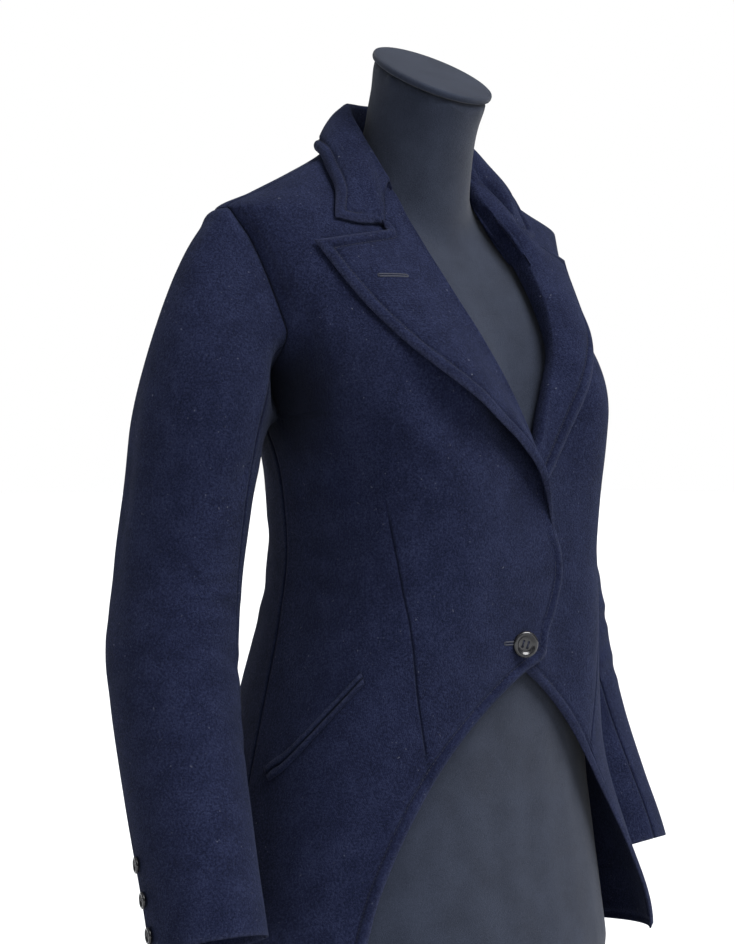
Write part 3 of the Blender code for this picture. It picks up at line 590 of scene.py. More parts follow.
# Spreads: the limits of a value, and what they become if not 0 and 1
WOOL_SPREAD = {
    "nap": (0.3, 0.7, 0, 0.62), "fibre": (0.3, 0.7, 0, 0.26), "mottle": (0.35, 0.65, -0.07, 0.09),
    "lint": (0.735, 0.78), "patch": (0.42, 0.62), "deep": (0.12, 0.55), "pale": (0.45, 0.95),
    "rubbed": (0.35, 0.7, 0.15, 0.75),
}
WOOL_SHARE = {"twill": 0.07, "lint": 0.6, "seam": 0.75, "painted_shade": 0.9}
WOOL_RELIEF = {"nap": 0.0013, "fibre": 0.0006, "twill": 0.00012}


def wool_finish():
    """Fulled twill with a short nap: mottled fibres, a fine slanted weave, lint, rubbed edges, seams darkened
    partly as dirt and partly as painted shade, and painted shade in the stitch grooves and in the fold under
    the arms.
    """
    nodes = Nodes("navy_wool_cloth", WOOL_SURFACE)
    noise = {name: nodes.noise(**values) for name, values in WOOL_NOISE.items()}

    def part(name, mark):
        return nodes.maths("MULTIPLY", mark, WOOL_SHARE[name])
    cut = nodes.put("ShaderNodeUVMap", {}, {"uv_map": "cut"})
    twill_way = nodes.put("ShaderNodeMapping", {"Vector": cut, "Rotation": (0, 0, TWILL_SLANT)})
    twill = nodes.put("ShaderNodeTexWave", {"Vector": twill_way, **WOOL_TWILL}, out=1)
    tone, *others = [nodes.spread(noise[name], *WOOL_SPREAD[name]) for name in ("nap", "fibre", "mottle")]
    for other in others + [part("twill", twill)]:
        tone = nodes.maths("ADD", tone, other)
    colour = nodes.blend(nodes.spread(tone, *WOOL_SPREAD["deep"]), WOOL_DEEP, WOOL_NAVY)
    colour = nodes.blend(nodes.spread(tone, *WOOL_SPREAD["pale"]), colour, WOOL_PALE)
    lint, patch = [nodes.spread(noise[name], *WOOL_SPREAD[name]) for name in ("lint", "patch")]
    colour = nodes.blend(part("lint", nodes.maths("MULTIPLY", lint, patch)), colour, WOOL_FLECK)
    rubbed = nodes.maths("MULTIPLY", nodes.mark("wear"), nodes.spread(noise["nap"], *WOOL_SPREAD["rubbed"]))
    colour = nodes.blend(rubbed, colour, WOOL_WORN)
    # Seams and the dart are darkened, partly as dirt in the joints and partly as painted shade in their
    # hollows; the stitch grooves get painted shade.
    colour = nodes.blend(part("seam", nodes.mark("seam")), colour, WOOL_DEEP)
    # Painted shade: the fold under the arms is darkened almost to black.
    colour = nodes.blend(part("painted_shade", nodes.mark("painted_shade")), colour, WOOL_PAINTED_SHADE)
    nodes.paint("Base Color", colour)
    heights = {"nap": noise["nap"], "fibre": noise["fibre"], "twill": twill}
    nodes.relief([(height, WOOL_RELIEF[name]) for name, height in heights.items()])
    return nodes.material


wool = wool_finish()


def front_places(side):
    """Turns and heights of a front's grid: rows up, columns from its edge past the dart to the side."""
    row = crowded(FRONT_GRID["rows"], FRONT_GRID["crowding"]) * (len(FRONT_ROWS) - 1)
    edge_z = np.interp(row, np.arange(len(FRONT_ROWS)), FRONT_ROWS)
    edge_turn = turn_at(front_edge(edge_z) + opening(edge_z, side), edge_z)
    top = np.clip(row - (len(FRONT_ROWS) - 2), 0, 1)
    edge_turn = edge_turn * (1 - top) + (SHOULDER_TURN - SHOULDER_GAP) * top
    side_z = HEM + (edge_z - FRONT_ROWS[0]) * (ARMPIT - HEM) / (FRONT_ROWS[ARMPIT_ROW] - FRONT_ROWS[0])
    step = np.clip(row - ARMPIT_ROW, 1, ARMHOLE_ROWS)
    hole_turn, hole_z = armhole(math.pi * (1 - step / ARMHOLE_ROWS))
    over = np.clip(row - ARMPIT_ROW, 0, 1)
    side_turn = (1 - over) * (SIDE_SEAM_TURN - SIDE_SEAM_GAP) + over * np.minimum(
        hole_turn + ARMHOLE["under"], SHOULDER_TURN - SHOULDER_GAP)
    side_z = (1 - over) * np.minimum(side_z, ARMPIT) + over * hole_z
    calm = ease(row, GRID_CALM["from_row"], GRID_CALM["to_row"])
    calm_turn = SIDE_SEAM_TURN + (GRID_CALM["turn"] - SIDE_SEAM_TURN) * calm
    calm_turn += (side_turn - calm_turn) * ease(row, GRID_CALM["leaves_row"], len(FRONT_ROWS) - 1)
    room = np.maximum(calm_turn - edge_turn, DART_COLUMN["room"])
    share = (np.radians(dart_turn(edge_z)) - edge_turn) / room
    share = np.clip(share, DART_COLUMN["least"], DART_COLUMN["most"])
    hold = ease(edge_z, DART_COLUMN["leaves"], DART_COLUMN["left"])
    share = share * (1 - hold) + DART_COLUMN["above"] * hold
    near, far = crowded(FRONT_GRID["near"]), crowded(FRONT_GRID["far"])[1:]
    across = np.concatenate([share[:, None] * near, share[:, None] + (1 - share)[:, None] * far], axis=1)
    turn = (1 - across) * edge_turn[:, None] + across * calm_turn[:, None]
    turn += (side_turn - calm_turn)[:, None] * across ** GRID_CALM["power"]
    height = (1 - across) * edge_z[:, None] + across * side_z[:, None]
    return turn, height


def make_front(side):
    turn, height = front_places(side)
    bare = front(turn, height, side)
    edge = np.concatenate([bare[::-1, 0], bare[0, 1:]])
    to_edge = along_line(bare, edge)[0]
    below_break = ease(height, BREAK["height"] + BREAK["blend"], BREAK["height"] - BREAK["blend"])
    to_seam = np.minimum(along_line(bare, bare[:, -1])[0], along_line(bare, bare[-1])[0])
    heights = np.linspace(DART[0][0], DART[-1][0], DART_FORM["points"])
    to_dart, dart_share = along_line(bare, front(np.radians(dart_turn(heights)), heights, side))
    dart = ease(dart_share, 1.0, DART_FORM["fades"]) * bell(to_dart, DART_FORM["width"])
    hollow = ease(dart_share, 1.0, DART_FORM["broad_fades"]) * bell(to_dart, DART_FORM["broad_width"])
    relief = swelled(to_edge) * below_break + sewn(to_seam)
    relief += unrest(bare, side + FRONT_SEED) * ease(to_seam, *FRONT_CLEAR["calm"])
    relief -= DART_FORM["depth"] * dart + DART_FORM["broad"] * hollow
    clear = ease(to_edge, *FRONT_CLEAR["edge"]) * ease(to_seam, *FRONT_CLEAR["seam"])
    relief += creased(bare, FRONT_CREASES[side], front, side) * clear
    wear = RUBBED["front"] * bell(to_edge, RUBBED["width"]) * below_break
    if side == RIGHT:
        corner = bare[np.argmin(np.abs(height[:, 0] - CORNER["height"])), 0]
        wear = wear + CORNER["wear"] * bell(np.linalg.norm(bare - corner, axis=-1), CORNER["reach"])
    # Painted shade in the groove of the stitch line along the edge; it joins the seam mark.
    groove_shade = SEAM_AND_SHADE_MARK["painted_groove_shade"] * groove(to_edge, SEAM_AND_SHADE_MARK["groove"]) * below_break
    # The last mark is painted shade in the fold under the arm.
    marks = {"seam": np.maximum(np.maximum(bell(to_seam, SEAM_AND_SHADE_MARK["wide"]), dart), groove_shade),
             "wear": np.clip(wear, 0, 1), "painted_shade": underarm_shade_mask(bare, UNDERARM["shaded"])}
    name = "front_cloth_" + WORD[side]
    outer = drawn_in(front(turn, height, side, relief))
    below = np.nonzero(height[:, 0] < BREAK["height"] - BREAK["sewn_below"])[0][::-1]
    walks = [(row, slice(None)) for row in below] + [(slice(None), k) for k in range(2, outer.shape[1] - 1)]
    stitch_lines[name] = [stitch_line(outer, to_edge, walks) * (side, 1, 1)]
    piece = cloth(name, outer, side, ("near", "low"), marks)
    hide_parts("front_" + WORD[side])
    return piece


stitch_lines = {}
coat_fronts = {side: make_front(side) for side in (RIGHT, LEFT)}

# Coat backs: two panels joined down the centre and drawn in at the waist by that seam and the side seams.
# They run plainly from the neck to the hem, with a few soft folds where the waist takes up the length.
BACK_NECK_ROW, BACK_SEED, BACK_CLEAR = 23, 5, (0, 14)
BACK_GRID = {"rows": 170, "columns": 80, "crowding": 0.35}
BACK_CREASES = {
    RIGHT: (
        (118, 1052, 160, 1030, 5, 1.7, 10), (112, 1012, 150, 1000, -5, 1.5, 11),
        (122, 975, 165, 985, 6, 1.2, 12), (128, 1170, 120, 1085, 6, 2.2, 15),
        (150, 900, 142, 720, 5, 2.4, 24),
    ),
    LEFT: (
        (116, 1044, 158, 1026, -5, 1.6, 11), (114, 1006, 154, 1004, 5, 1.4, 10),
        (125, 968, 160, 980, -5, 1.2, 13), (126, 1165, 119, 1080, -6, 2.1, 15),
        (146, 890, 140, 715, -6, 2.3, 23),
    ),
}


def back_places():
    row = crowded(BACK_GRID["rows"], BACK_GRID["crowding"]) * (len(FRONT_ROWS) - 1)
    low = np.interp(row, np.arange(len(FRONT_ROWS)), FRONT_ROWS) - FRONT_ROWS[0]
    low_z = HEM + low * (ARMPIT - HEM) / (FRONT_ROWS[ARMPIT_ROW] - FRONT_ROWS[0])
    rise = np.clip((row - ARMPIT_ROW) / (BACK_NECK_ROW - ARMPIT_ROW), 0, 1)
    centre_z = np.where(row < ARMPIT_ROW, low_z, ARMPIT + (NECK_POINT - ARMPIT) * rise)
    neck = np.clip((row - BACK_NECK_ROW) / (len(FRONT_ROWS) - 1 - BACK_NECK_ROW), 0, 1)
    centre = math.pi - SIDE_SEAM_GAP
    centre_turn = centre + (SHOULDER_TURN + SHOULDER_GAP - centre) * neck
    step = np.clip(row - ARMPIT_ROW, 1, ARMHOLE_ROWS)
    hole_turn, hole_z = armhole(-math.pi * (1 - step / ARMHOLE_ROWS))
    over = np.clip(row - ARMPIT_ROW, 0, 1)
    side_turn = (1 - over) * (SIDE_SEAM_TURN + SIDE_SEAM_GAP) + over * np.maximum(
        hole_turn, SHOULDER_TURN + SHOULDER_GAP)
    side_z = (1 - over) * np.minimum(low_z, ARMPIT) + over * hole_z
    across = crowded(BACK_GRID["columns"])
    turn = (1 - across) * side_turn[:, None] + across * centre_turn[:, None]
    height = (1 - across) * side_z[:, None] + across * centre_z[:, None]
    return turn, height, row


def make_back(side):
    turn, height, row = back_places()
    bare = body(turn, height)
    to_seam = along_line(bare, bare[:, 0])[0]
    to_seam = np.minimum(to_seam, along_line(bare, bare[row <= BACK_NECK_ROW, -1])[0])
    to_seam = np.minimum(to_seam, along_line(bare, bare[-1])[0])
    relief = sewn(to_seam) + unrest(bare, side + BACK_SEED)
    relief += creased(bare, BACK_CREASES[side], body) * ease(to_seam, *BACK_CLEAR)
    # The last mark is painted shade in the fold under the arm.
    marks = {"seam": bell(to_seam, SEAM_AND_SHADE_MARK["wide"]), "wear": np.zeros_like(height),
             "painted_shade": underarm_shade_mask(bare, UNDERARM["shaded"])}
    outer = drawn_in(body(turn, height, relief))
    piece = cloth("back_cloth_" + WORD[side], outer, side, ("low",), marks)
    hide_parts("back_" + WORD[side])
    return piece


coat_backs = {side: make_back(side) for side in (RIGHT, LEFT)}

# Sleeves: a top piece and an under piece a side, sewn along the inner fore arm and the back of the arm.
# They are eased into the armhole, bend at the elbow and end in a plain open cuff.
ARM = (
    (720, 257, -8, 45, 53), (760, 254, 5, 46, 53), (800, 249, 21, 47, 54), (860, 242, 44, 49, 56),
    (925, 236, 62, 52, 58), (955, 234, 68, 53, 59), (1020, 225, 71, 51, 58), (1080, 219, 66, 51, 58),
    (1130, 215, 60, 53, 60),
)
SLEEVE_TOP = 1130
CUFF_HEIGHT = {LEFT: 744, RIGHT: 722}
CUFF_TWIST = {LEFT: math.radians(-15), RIGHT: math.radians(40)}
SLEEVE_LEAVE = (0.87, 0, -0.49)
SLEEVE_PULL = {"leave": 0.12, "arrive": 0.3, "extra": 0.1, "below": 40, "off": (0.3, 0, 0)}
HEAD_SHARE = 0.33
FORE_SEAM, HIND_SEAM, SLEEVE_GAP = math.radians(108), math.radians(288), 0.0004
SLEEVE_GRID = {"rows": 190, "columns": 72, "crowding": 0.3}
HEAD_EASE = {LEFT: 0.6, RIGHT: 3.2, "at": 9, "width": 8, "round": (0.1, 0.8), "sewn": 0.4}
SLEEVE_UNREST, SLEEVE_SEED, SLEEVE_RUBBED = 0.9, 9, 0.4
SLEEVE_CLEAR = {"seam": (-2, 9), "head": (0, 20), "calm": (0, 25)}
# Main creases, by side: angle from the outer side to the front and height of both ends, then as above
SLEEVE_CREASES = {
    RIGHT: (
        (40, 1012, 118, 1020, -5, 1.8, 6), (52, 988, 128, 990, 4, 2.4, 7), (36, 962, 120, 958, -4, 2.0, 6),
        (58, 935, 132, 928, 5, 2.4, 7), (50, 905, 118, 893, -5, 1.8, 7), (70, 872, 128, 860, 3, 1.2, 7),
        (-50, 930, 20, 948, 4, 1.6, 10), (-55, 985, 5, 968, -5, 1.4, 10), (75, 1090, 130, 1130, 6, 2.0, 9),
        (150, 980, 215, 985, 4, 2.2, 8), (155, 945, 210, 938, -4, 2.0, 8), (-20, 1230, -30, 960, 5, 1.8, 12),
    ),
    LEFT: (
        (45, 1008, 122, 1016, 5, 2.0, 7), (50, 982, 126, 984, -4, 2.2, 7), (40, 955, 118, 952, 4, 2.0, 6),
        (60, 930, 130, 922, -5, 2.2, 7), (48, 900, 120, 890, 5, 1.7, 7), (-52, 936, 15, 950, -4, 1.6, 10),
        (-50, 990, 8, 972, 5, 1.4, 10), (75, 1095, 128, 1128, -6, 2.0, 9), (150, 975, 212, 982, -4, 2.2, 8),
        (155, 940, 208, 935, 4, 1.9, 8), (-22, 1225, -30, 965, -5, 1.7, 12),
    ),
}
arm_x, arm_y, arm_across, arm_fore = [curve_through(ARM, k) for k in range(1, 5)]


def unit(vectors):
    return vectors / np.maximum(np.linalg.norm(vectors, axis=-1, keepdims=True), 1e-9)


def arm_centre(height):
    return np.stack([arm_x(height), arm_y(height), height + 0.0], -1)


def arm_point(angle, height, side, out=0.0):
    """Sleeve below the armpit: angle 0 is its outer side, a quarter turn its front."""
    angle = angle + CUFF_TWIST[side] * ease(height, SLEEVE_TOP, CUFF_HEIGHT[side])
    along = unit(arm_centre(height + 2) - arm_centre(height - 2))
    across = unit(np.array([1.0, 0, 0]) - along[..., :1] * along)
    fore = np.cross(across, along)
    fore = -fore * np.sign(fore[..., 1:2])
    return (arm_centre(height) + across * ((arm_across(height) + out) * np.cos(angle))[..., None]
            + fore * ((arm_fore(height) + out) * np.sin(angle))[..., None])


def sleeve(angle, way, side):
    """Whole sleeve: way 0 at the armhole, HEAD_SHARE where the head ends, 1 at the cuff."""
    wrapped = angle % (2 * math.pi)
    wrapped = np.where(wrapped <= math.pi, wrapped, wrapped - 2 * math.pi)
    start = body(*armhole(wrapped)) + SLEEVE_PULL["off"]
    top = np.full_like(angle, SLEEVE_TOP)
    end = arm_point(angle, top, side)
    below = unit(end - arm_point(angle, top - SLEEVE_PULL["below"], side))
    reach = np.linalg.norm(end - start, axis=-1)[..., None]
    extra = (SLEEVE_PULL["extra"] * (1 + np.cos(angle)) / 2)[..., None]
    first = start + np.array(SLEEVE_LEAVE) * reach * (SLEEVE_PULL["leave"] + extra)
    second = end + below * reach * (SLEEVE_PULL["arrive"] + extra)
    t = np.clip(way / HEAD_SHARE, 0, 1)[..., None]
    head = ((1 - t) ** 3 * start + 3 * t * (1 - t) ** 2 * first + 3 * t * t * (1 - t) * second + t ** 3 * end)
    share = np.clip((way - HEAD_SHARE) / (1 - HEAD_SHARE), 0, 1)
    arm = arm_point(angle, SLEEVE_TOP + (CUFF_HEIGHT[side] - SLEEVE_TOP) * share, side)
    return np.where((way < HEAD_SHARE)[..., None], head, arm)


def make_sleeve(side, word, first, last):
    angle = first + (last - first) * crowded(SLEEVE_GRID["columns"])
    way = crowded(SLEEVE_GRID["rows"], SLEEVE_GRID["crowding"])
    angle, way = np.meshgrid(angle, way)
    bare = sleeve(angle, way, side)
    to_seam = np.minimum(along_line(bare, bare[:, 0])[0], along_line(bare, bare[:, -1])[0])
    to_head, to_cuff = along_line(bare, bare[0])[0], along_line(bare, bare[-1])[0]
    relief = sewn(to_seam) + HEAD_EASE["sewn"] * sewn(to_head)
    relief += SLEEVE_UNREST * unrest(bare, 3 * side + SLEEVE_SEED) * ease(to_head, *SLEEVE_CLEAR["calm"])
    eased = bell(to_head - HEAD_EASE["at"], HEAD_EASE["width"])
    relief += HEAD_EASE[side] * ease(np.cos(angle), *HEAD_EASE["round"]) * eased
    clear = ease(to_seam, *SLEEVE_CLEAR["seam"]) * ease(to_head, *SLEEVE_CLEAR["head"])
    relief += creased(bare, SLEEVE_CREASES[side], arm_point, side) * clear
    # Painted shade in the fold under the arm; it reaches further on the under piece.
    shaded = UNDERARM["shaded" if word == "under" else "reach"]
    marks = {"seam": bell(np.minimum(to_seam, to_head), SEAM_AND_SHADE_MARK["fine"]),
             "wear": SLEEVE_RUBBED * bell(to_cuff, RUBBED["width"]), "painted_shade": underarm_shade_mask(bare, shaded)}
    outer = drawn_in(bare + relief[..., None] * grid_normals(bare))
    piece = cloth("sleeve_%s_cloth_%s" % (word, WORD[side]), outer, side, ("high",), marks)
    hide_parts("sleeve_%s_%s" % (word, WORD[side]))
    return piece


for side in (RIGHT, LEFT):
    behind = HIND_SEAM - 2 * math.pi
    make_sleeve(side, "top", behind + SLEEVE_GAP, FORE_SEAM - SLEEVE_GAP)
    make_sleeve(side, "under", FORE_SEAM + SLEEVE_GAP, HIND_SEAM - SLEEVE_GAP)

# Lapels: each front's upper edge folded back on a soft roll and faced with the same wool, with a peak.
# The edge is swelled and stitched like the fronts'; the roll stands a little off the coat.
# Outer edges, by side: height, and how far it lies on its own side; the left one rolls more
LAPEL_EDGE = {
    RIGHT: (
        (1030, -33.5), (1056, -22), (1090, -3), (1125, 31), (1154, 69), (1180, 97), (1205, 114), (1235, 128),
        (1268, 141), (1298, 152),
    ),
    LEFT: (
        (1030, -32), (1056, -16), (1086, 12), (1121, 35), (1168, 64), (1203, 87), (1228, 107), (1262, 133),
        (1298, 152),
    ),
}
LAPEL_TOP = ((1349, 50), (1310, 78), (1298, 152))
LAPEL_NOTCH = 0.253
LAPEL_CROWN = 3
LAPEL_ROLL = {
    "foot": 1029, "top": 1349, "lift": {RIGHT: 1.6, LEFT: 9.0}, "fade": {RIGHT: 9, LEFT: 24},
    "under": -3.0, "back": 6, "round": 0.8,
}
LAPEL_LAY, LAPEL_WALL = 4.2, 1.9
LAPEL_UNREST, LAPEL_SEED, LAPEL_RUBBED = 0.7, 12, 0.55
LAPEL_RISE = {RIGHT: 0.8, LEFT: 11.0, "starts": 1130, "full": 1260}
LAPEL_FOOT = {"flat": 1030, "rolled": 1096, "full": 1112, "thin": 0.12, "sunk": 1.5, "swells": (1050, 1090)}
# The gorge edge runs on under the collar: how far round, up and down, and over which share across
LAPEL_TUCK = {
    "turn": 0.03, "up": 4.0, "down": 2.0, "power": 24, "past_notch": (0.045, -0.03),
    "roll_turn": 0.11, "roll_up": 14, "roll_power": 60, "roll_across": (0.16, 0.02), "roll_kept": 0.7,
}
# Above the break the lapel bellies off the coat: how far, and the heights where that starts, is full and ends
LAPEL_BELLY = {
    RIGHT: 12.0, LEFT: 3.0, "starts": 1052, "full": 1118, "fades": 1130, "ends": 1225, "across": (-0.1, 0.7),
}
# Heights between which each lapel starts to lift; the left one lies flat where the right front covers it
LAPEL_LIFTED = {RIGHT: (1000, 1030), LEFT: (1085, 1155)}
LAPEL_GRID = {
    "rows": 130, "roll": 11, "inner": 24, "outer": 44, "inside": 3, "sewn_from": 12,
    "crowding": 0.6, "inner_crowding": 0.5,
}
lapel_edge = {side: curve_through(rows, 1) for side, rows in LAPEL_EDGE.items()}


def lapel_top(share):
    """Turn and height along a lapel's top, from the roll past the notch to the peak."""
    inside = share <= LAPEL_NOTCH
    t = np.where(inside, share / LAPEL_NOTCH, (share - LAPEL_NOTCH) / (1 - LAPEL_NOTCH))
    ends = [np.where(inside, LAPEL_TOP[0][k], LAPEL_TOP[1][k]) for k in (0, 1)]
    ends += [np.where(inside, LAPEL_TOP[1][k], LAPEL_TOP[2][k]) for k in (0, 1)]
    height = ends[0] + (ends[2] - ends[0]) * t
    return turn_at(ends[1] + (ends[3] - ends[1]) * t, height), height


def make_lapel(side):
    up = crowded(LAPEL_GRID["rows"], LAPEL_GRID["crowding"])[:, None]
    inner = crowded(LAPEL_GRID["inner"], LAPEL_GRID["inner_crowding"])
    across = np.concatenate([LAPEL_NOTCH * inner,
                             LAPEL_NOTCH + (1 - LAPEL_NOTCH) * crowded(LAPEL_GRID["outer"])[1:]])[None]
    roll_z = LAPEL_ROLL["foot"] + (LAPEL_ROLL["top"] - LAPEL_ROLL["foot"]) * up
    edge_low, edge_high = LAPEL_EDGE[side][0][0], LAPEL_EDGE[side][-1][0]
    edge_z = edge_low + (edge_high - edge_low) * up
    roll_turn = turn_at(front_edge(roll_z) + opening(roll_z, side), roll_z)
    edge_turn = turn_at(lapel_edge[side](edge_z), edge_z)
    top_turn, top_z = lapel_top(across)
    crown_turn = top_turn - ((1 - across) * top_turn[:, :1] + across * top_turn[:, -1:])
    crown_z = top_z - ((1 - across) * top_z[:, :1] + across * top_z[:, -1:])
    turn = (1 - across) * roll_turn + across * edge_turn + up ** LAPEL_CROWN * crown_turn
    height = (1 - across) * roll_z + across * edge_z + up ** LAPEL_CROWN * crown_z
    tucked = ease(across, *[LAPEL_NOTCH + past for past in LAPEL_TUCK["past_notch"]])
    tucked = up ** LAPEL_TUCK["power"] * tucked
    deeper = up ** LAPEL_TUCK["roll_power"] * ease(across, *LAPEL_TUCK["roll_across"])
    turn = turn + LAPEL_TUCK["turn"] * tucked + LAPEL_TUCK["roll_turn"] * deeper
    height = height + LAPEL_TUCK["up"] * tucked + LAPEL_TUCK["roll_up"] * deeper
    bare = front(turn, height, side)
    from_roll = along_line(bare, bare[:, 0])[0]
    notch = LAPEL_GRID["inner"] - 1
    free = np.concatenate([bare[:, -1], bare[-1, notch:][::-1]])
    to_edge = along_line(bare, free)[0]
    to_gorge = along_line(bare, bare[-1, :notch + 1])[0]
    lift = LAPEL_ROLL["lift"][side] * np.exp(-from_roll / LAPEL_ROLL["fade"][side])
    middle = from_roll / np.maximum(from_roll + to_edge, 1)
    risen = ease(height, LAPEL_RISE["starts"], LAPEL_RISE["full"])
    lift = lift + LAPEL_RISE[side] * 4 * middle * (1 - middle) * risen
    belly = ease(height, LAPEL_BELLY["starts"], LAPEL_BELLY["full"]) * ease(
        height, LAPEL_BELLY["ends"], LAPEL_BELLY["fades"])
    lift = lift + LAPEL_BELLY[side] * belly * ease(middle, *LAPEL_BELLY["across"])
    lift = lift * ease(height, *LAPEL_LIFTED[side])
    grown = ease(height, LAPEL_FOOT["flat"], LAPEL_FOOT["full"])
    grown = LAPEL_FOOT["thin"] + (1 - LAPEL_FOOT["thin"]) * grown
    relief = (LAPEL_LAY + lift) * grown + swelled(to_edge) * ease(height, *LAPEL_FOOT["swells"])
    relief += LAPEL_UNREST * unrest(bare, side + LAPEL_SEED)
    relief -= LAPEL_TUCK["down"] * tucked * (1 - LAPEL_TUCK["roll_kept"] * deeper)
    face = front(turn, height, side, relief)
    # The roll turns round the front's own edge, from its facing inside to the lapel's face
    foot, lifted = bare[:, 0], face[:, 0] - bare[:, 0]
    normal = unit(lifted)
    away = bare[:, 0] - bare[:, LAPEL_GRID["inside"]]
    away = unit(away - normal * np.sum(away * normal, axis=-1, keepdims=True))
    top = np.linalg.norm(lifted, axis=-1, keepdims=True)
    centre, radius = (top + LAPEL_ROLL["under"]) / 2, (top - LAPEL_ROLL["under"]) / 2
    full = ease(roll_z, LAPEL_FOOT["flat"], LAPEL_FOOT["rolled"])
    sunk = foot - normal * LAPEL_FOOT["sunk"] * (1 - full)
    rolls = [sunk + (normal * LAPEL_ROLL["under"] - away * LAPEL_ROLL["back"]) * full]
    for angle in np.linspace(-math.pi / 2, math.pi / 2, LAPEL_GRID["roll"], endpoint=False):
        rolls.append(sunk + (normal * (centre + radius * math.sin(angle))
                             + away * radius * math.cos(angle) * LAPEL_ROLL["round"]) * full)
    face = face - (normal * LAPEL_FOOT["sunk"] * (1 - full))[:, None]
    outer = np.concatenate([np.stack(rolls, axis=1), face], axis=1)
    blank = np.zeros((len(outer), len(rolls)))
    # Painted shade in the groove of the stitch line along the edge; it joins the seam mark.
    groove_shade = SEAM_AND_SHADE_MARK["painted_groove_shade"] * groove(to_edge, SEAM_AND_SHADE_MARK["groove"])
    seam = np.maximum(groove_shade, bell(to_gorge, SEAM_AND_SHADE_MARK["fine"]))
    wear = LAPEL_RUBBED * bell(to_edge, RUBBED["width"])
    marks = {"seam": np.concatenate([blank, seam], axis=1), "wear": np.concatenate([blank, wear], axis=1)}
    name = "lapel_cloth_" + WORD[side]
    walks = [(row, slice(None, None, -1)) for row in range(LAPEL_GRID["sewn_from"], len(face) - 1)]
    walks += [(slice(None, None, -1), k) for k in range(face.shape[1] - 1, notch, -1)]
    stitch_lines[name] = [stitch_line(face, to_edge, walks) * (side, 1, 1)]
    piece = cloth(name, outer, side, ("far", "high"), marks, LAPEL_WALL)
    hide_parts("lapel_" + WORD[side])
    return piece


lapels = {side: make_lapel(side) for side in (RIGHT, LEFT)}

# Collar: one piece of wool folded over its own stand, sewn to the neck and to the lapels' gorges.
# Its fall lies round the neck and ends in two corners above the lapels' peaks.
# Half of it: turn from the front, reach and height of the fold, turn and reach of the outer edge
COLLAR = (
    (65, 57, 1358, 75, 131), (74, 58, 1373, 81, 114), (88, 58, 1393, 91, 104), (106, 58, 1414, 108, 95),
    (130, 57, 1430, 132, 87), (155, 57, 1435, 156, 80), (180, 57, 1436, 180, 78),
)
COLLAR_CENTRE_Y = 16
COLLAR_NOTCH = {"turn": -9, "reach": -6, "share": 0.25}
STAND = {"out": 1, "foot": 1.2, "lean": 1.5, "below_fold": 4, "shares": (0, 0.5, 1)}
COLLAR_CROWN = ((1.2, -0.8), (4, 0), (7, -2.2))
COLLAR_FALL_SHARES = (0.25, 0.5, 0.75, 1)
COLLAR_LAY = 4.8
COLLAR_BULGE = {
    "from": 0.36, "power": 0.8, "left": 9.0, "right": 4.5, "end_down": 3.0, "crown_down": 2.4, "notch": 0.62,
}
COLLAR_RELIEF = {"unrest": 0.6, "seed": 21, "sewn": 0.8, "rubbed": 0.55}
# Spans over which each form of the collar grows: shares across it, and along it from its left end
COLLAR_ACROSS = {"fall": (0.45, 0.55), "end": (0.7, 1.0), "crown_in": (0.25, 0.36), "crown_out": (0.62, 0.5)}
COLLAR_ALONG = {
    "left": (0.55, 0.25), "right": (0.5, 0.8), "left_end": (0.0, 0.12), "right_end": (1.0, 0.9),
    "end_down": (0.16, 0.0), "gorge": (0.14, 0.0), "crown": (0.05, 0.0),
}
COLLAR_GRID = {"stations": 70, "across": 64, "crowding": 0.3, "across_crowding": 0.6, "sewn_from": 3}
SHOULDER_SQUARENESS, SHOULDER_HALVINGS = 2.4, 30
collar_columns = [curve_through([(k / (len(COLLAR) - 1),) + row for k, row in enumerate(COLLAR)], column)
                  for column in range(1, 6)]


def shoulder_top(x, y):
    """Height of the shoulder slope above a point of the floor plan."""
    low, high = ARMPIT, LEVELS[-1][0]
    for _ in range(SHOULDER_HALVINGS):
        mid = (low + high) / 2
        depth = front_depth(mid) if y < ridge(mid) else back_depth(mid)
        across, fore = abs(x / half_width(mid)), abs((y - ridge(mid)) / depth)
        inside = across ** SHOULDER_SQUARENESS + fore ** SHOULDER_SQUARENESS < 1
        low, high = (mid, high) if inside else (low, mid)
    return low


def collar_line(share):
    """Points across the collar, from the foot of its stand over the fold to the outer edge."""
    reads = [float(read(share)) for read in collar_columns]
    fold_turn, fold_reach, fold_height, edge_turn, edge_reach = reads
    notch = max(0, 1 - share / COLLAR_NOTCH["share"]) ** 2

    def plan(turn, reach):
        angle = math.radians(turn)
        return reach * math.sin(angle), COLLAR_CENTRE_Y - reach * math.cos(angle)
    stand_reach = fold_reach + STAND["out"]
    foot = shoulder_top(*plan(fold_turn, stand_reach)) + STAND["foot"]
    climb = fold_height - STAND["below_fold"] - foot
    line = [(*plan(fold_turn, stand_reach - STAND["lean"] * t), foot + climb * t) for t in STAND["shares"]]
    line += [(*plan(fold_turn, fold_reach + out), fold_height + rise) for out, rise in COLLAR_CROWN]
    fall_start, fall_height = fold_reach + COLLAR_CROWN[-1][0], line[-1][2]
    for t in COLLAR_FALL_SHARES:
        bend = notch * (1 - abs(2 * t - 1))
        turn = fold_turn + (edge_turn - fold_turn) * t + COLLAR_NOTCH["turn"] * bend
        reach = fall_start + (edge_reach - fall_start) * t + COLLAR_NOTCH["reach"] * bend
        ground = shoulder_top(*plan(turn, reach))
        nearer = shoulder_top(*plan(turn, reach - 1))
        lift = COLLAR_LAY * math.hypot(1, nearer - ground)
        hang = fall_height + (ground + lift - fall_height) * min(1, t * (1 + notch))
        line.append((*plan(turn, reach), max(hang, ground + lift)))
    return np.array(line)


def through_points(line, shares):
    """Smooth curve through a short line of points, read at shares of its length."""
    ends = np.concatenate([[0], np.cumsum(np.linalg.norm(np.diff(line, axis=0), axis=1))])
    ends /= ends[-1]
    return np.stack([curve_through(list(zip(ends, line[:, k])), 1)(shares) for k in range(3)], -1)


